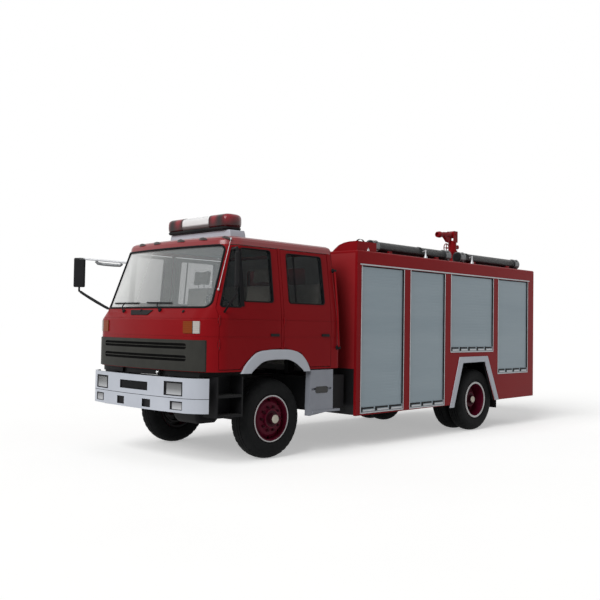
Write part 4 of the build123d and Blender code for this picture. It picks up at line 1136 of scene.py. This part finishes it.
def smooth_line(points, count):
    # Evenly parted places on a smooth curve through the points
    knots = spots(*points)
    ends = [knots[0] * 2 - knots[1]] + knots + [knots[-1] * 2 - knots[-2]]
    fine = []
    for a, b, c, d in zip(ends, ends[1:], ends[2:], ends[3:]):
        square, cube = 2 * a - 5 * b + 4 * c - d, 3 * b - a - 3 * c + d
        for k in range(20):
            t = k / 20
            fine.append(0.5 * (2 * b + (c - a) * t + square * t * t + cube * t ** 3))
    fine.append(knots[-1])
    runs = [0.0]
    for a, b in zip(fine, fine[1:]):
        runs.append(runs[-1] + (b - a).length)
    out, i = [], 0
    for k in range(count):
        goal = runs[-1] * k / (count - 1)
        while i < len(runs) - 2 and runs[i + 1] < goal:
            i += 1
        span = max(runs[i + 1] - runs[i], 1e-9)
        out.append(fine[i].lerp(fine[i + 1], (goal - runs[i]) / span))
    return out


def front_arches():
    outer_line, inner_line = smooth_line(ARCH_OUT, ARCH_STEPS), smooth_line(ARCH_IN, ARCH_STEPS)
    shape = Shape()
    for side, label in SIDES:
        rings = []
        for a, b in zip(inner_line, outer_line):
            across = [(a.lerp(b, t), side * (CAB_HALF + rise)) for t, rise in ARCH_SECTION]
            rings.append(spots(*((FX + p.x, y, p.y) for p, y in across)))
        shape.loft(rings)
    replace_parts(shape.emit("front_arches", WHITE, "cab", "white_paint", angle=35), "front_arch_trims")


# Dark frames in the lamp pockets, wider at the top and the inner side as painted shade of the pockets: inner
# Y, outer Y, low Z, top Z of head lamp and fog lamp
LAMP_POCKETS = [(0.59, 0.90, 0.82, 0.985), (0.70, 0.90, 0.66, 0.76)]
POCKET_GAP = 0.002


def lamp_frames():
    tree = cast_tree("road_lamps")
    shape = Shape()
    for side, label in SIDES:
        for y0, y1, z0, z1 in LAMP_POCKETS:
            left, right, low, top = y0 + POCKET_GAP, y1 - POCKET_GAP, z0 + POCKET_GAP, z1 - POCKET_GAP
            # The inner edge is drawn towards a middle set outwards and down, so the frame is wider at the top
            # and inner side: painted shade
            mid = Vector(((y0 + y1) / 2 + 0.045, (z0 + z1) / 2 - 0.02))
            rows = []
            for p in resample(spots((left, low), (right, low), (right, top), (left, top)), 0.03):
                q = mid + (p - mid) * 0.82
                a, b = seen_ahead(tree, side * p.x, p.y), seen_ahead(tree, side * q.x, q.y)
                rows.append([spot + Vector((rise, 0, 0))
                             for spot, rise in ((a, 0.0002), (a, 0.005), (b, 0.0025), (b, 0.0002))])
            shape.loft(rows, loop=True)
    shape.emit("lamp_frames", SEAL, "chassis", "black_steel")


# Plate that closes the gap behind the bumper: back from its face, and height
BACK_PLATE = [(-0.006, 0.80), (0.0, 0.80), (0.0, 0.995), (-0.03, 1.003), (-0.032, 0.998), (-0.006, 0.991)]


def bumper_back_plate():
    rings = []
    for k in range(17):
        y = -1.0 + 2.0 * k / 16
        x = FX + 0.93 - 0.06 * abs(y) ** 3
        rings.append(spots(*((x + back, y, z) for back, z in BACK_PLATE)))
    shape = Shape()
    shape.loft(rings)
    shape.emit("bumper_back_plate", BLACK, "chassis", "black_steel")


# Oil sump under the engine, ahead of the axle: height, front X, rear X, half width, corner radius
SUMP_RINGS = [
    (0.6195, 0.60, 0.13, 0.30, 0.03), (0.60, 0.60, 0.13, 0.30, 0.03), (0.595, 0.575, 0.15, 0.275, 0.04),
    (0.43, 0.52, 0.16, 0.25, 0.06), (0.385, 0.48, 0.19, 0.22, 0.05)]


def engine_sump():
    rings = []
    for z, front, rear, half, corner in SUMP_RINGS:
        line = rounded([(front, -half), (front, half), (rear, half), (rear, -half)], corner)
        rings.append(spots(*((FX + p.x, p.y, z) for p in line)))
    shape = Shape()
    shape.loft(rings)
    shape.emit("engine_sump", BLACK, "chassis", "cast", bevel=0.003)


# Grip slots in the fender panels
GRIP_LINE = [(-0.66, 0.792), (-0.66, 0.862), (-0.88, 0.862), (-0.88, 0.792)]
GRIP_Y = 1.1852


def fender_grips():
    shape = Shape()
    for side, label in SIDES:
        line = rounded(GRIP_LINE, 0.02)
        rows = []
        for p, q in zip(line, grown(line, 0.008)):
            rows.append(spots(*((FX + at.x, side * y, at.y)
                                for at, y in ((q, GRIP_Y), (q, 1.188), (p, 1.1875), (p, 1.1853)))))
        shape.loft(rows, loop=True)
        shape.slab([(FX + p.x, side * GRIP_Y, p.y) for p in line], (0, side * 0.0006, 0))
    shape.emit("fender_grips", STEEL, "chassis", "cast")


# Sleeves on the arms of the right mirror: share of the arm, share of the drop
UPPER_SLEEVE = [(0.12, 0.35), (0.16, 0.9), (0.3, 1.0), (0.5, 1.0), (0.62, 0.9), (0.66, 0.35)]
LOWER_SLEEVE = [0.05, 0.2, 0.4, 0.6, 0.8, 0.93]


def mirror_sleeves():
    top, out_end = Vector((FX + 0.77, -1.01, 2.47)), Vector((FX + 1.215, -1.5, 2.52))
    low_end, foot = Vector((FX + 1.215, -1.5, 2.08)), Vector((FX + 0.985, -1.085, 1.83))
    drop = Vector((0, 0, -0.05))
    shape = Shape()
    shape.tube([top.lerp(out_end, t) + drop * w for t, w in UPPER_SLEEVE], 0.021, 14)
    shape.emit("mirror_sleeve", COUPLING, "cab", "aluminium", angle=50)
    shape = Shape()
    shape.tube([low_end.lerp(foot, t) + Vector((0, 0, -0.01 * math.sin(math.pi * t))) for t in LOWER_SLEEVE],
               0.0185, 14)
    shape.emit("mirror_low_sleeve", BLACK, "cab", "black_steel", angle=50)


front_arches()
lamp_frames()
bumper_back_plate()
engine_sump()
fender_grips()
mirror_sleeves()

# Stage
FLOOR_SIZE = 400
FLOOR_GLOW = 0.40
AMBIENT, BACKDROP = 0.25, 1.0
SUN_WAY = (0.80, 0.12, 0.588)


def background_share(tree):
    light = tree.nodes.new("ShaderNodeLightPath")
    total = light.outputs["Is Camera Ray"]
    for name in ("Is Glossy Ray", "Is Transmission Ray"):
        total = combine(tree, "MAXIMUM", total, light.outputs[name])
    return total


def lay_floor():
    bpy.ops.mesh.primitive_plane_add(size=FLOOR_SIZE)
    floor = bpy.context.object
    floor.name = "floor"
    mat = toned("floor", lambda t: noise(t, 0.5), mottle((0.88, 0.88, 0.87), (0.90, 0.90, 0.89)),
                {"Roughness": 0.9, "Specular IOR Level": 0.0, "Emission Color": (1, 1, 1, 1)})
    share = background_share(mat.node_tree)
    drive(mat, "Emission Strength", ranged(mat.node_tree, share, end_high=FLOOR_GLOW))
    floor.data.materials.append(mat)


def light_scene():
    world = bpy.data.worlds.new("world")
    bpy.context.scene.world = world
    world.use_nodes = True
    tree = world.node_tree
    tree.nodes.clear()
    out = tree.nodes.new("ShaderNodeOutputWorld")
    sky = tree.nodes.new("ShaderNodeBackground")
    sky.inputs[0].default_value = (1.0, 1.0, 1.0, 1)
    level = ranged(tree, background_share(tree), end_low=AMBIENT, end_high=BACKDROP)
    tree.links.new(level, sky.inputs[1])
    tree.links.new(sky.outputs[0], out.inputs[0])
    sun = bpy.data.lights.new("key", "SUN")
    sun.energy = 2.3
    sun.angle = math.radians(38)
    key = bpy.data.objects.new("key", sun)
    key.rotation_euler = Vector(SUN_WAY).to_track_quat("Z", "Y").to_euler()
    bpy.context.scene.collection.objects.link(key)


# Camera as fitted to the photograph
YAW, PITCH, ROLL = math.radians(44.3424), math.radians(-1.8748), math.radians(0.8961)
FOCAL_PX, PHOTO_PX = 806.24, 600
SENSOR_MM = 36.0
CAMERA_AT = (FX + 6.9538, 8.3150, 1.6435)


def place_camera():
    ahead = Vector((-math.cos(YAW) * math.cos(PITCH), -math.sin(YAW) * math.cos(PITCH), -math.sin(PITCH)))
    right = ahead.cross(Vector(UPWARD)).normalized()
    up = right.cross(ahead)
    rolled_right = right * math.cos(ROLL) + up * math.sin(ROLL)
    rolled_up = up * math.cos(ROLL) - right * math.sin(ROLL)
    data = bpy.data.cameras.new("camera")
    data.sensor_width = SENSOR_MM
    data.lens = FOCAL_PX / PHOTO_PX * SENSOR_MM
    data.clip_end = 500
    camera = bpy.data.objects.new("camera", data)
    turn = Matrix((rolled_right, rolled_up, -ahead)).transposed().to_4x4()
    camera.matrix_world = Matrix.Translation(CAMERA_AT) @ turn
    bpy.context.scene.collection.objects.link(camera)
    bpy.context.scene.camera = camera
    bpy.context.scene.view_settings.view_transform = "Standard"


lay_floor()
light_scene()
place_camera()
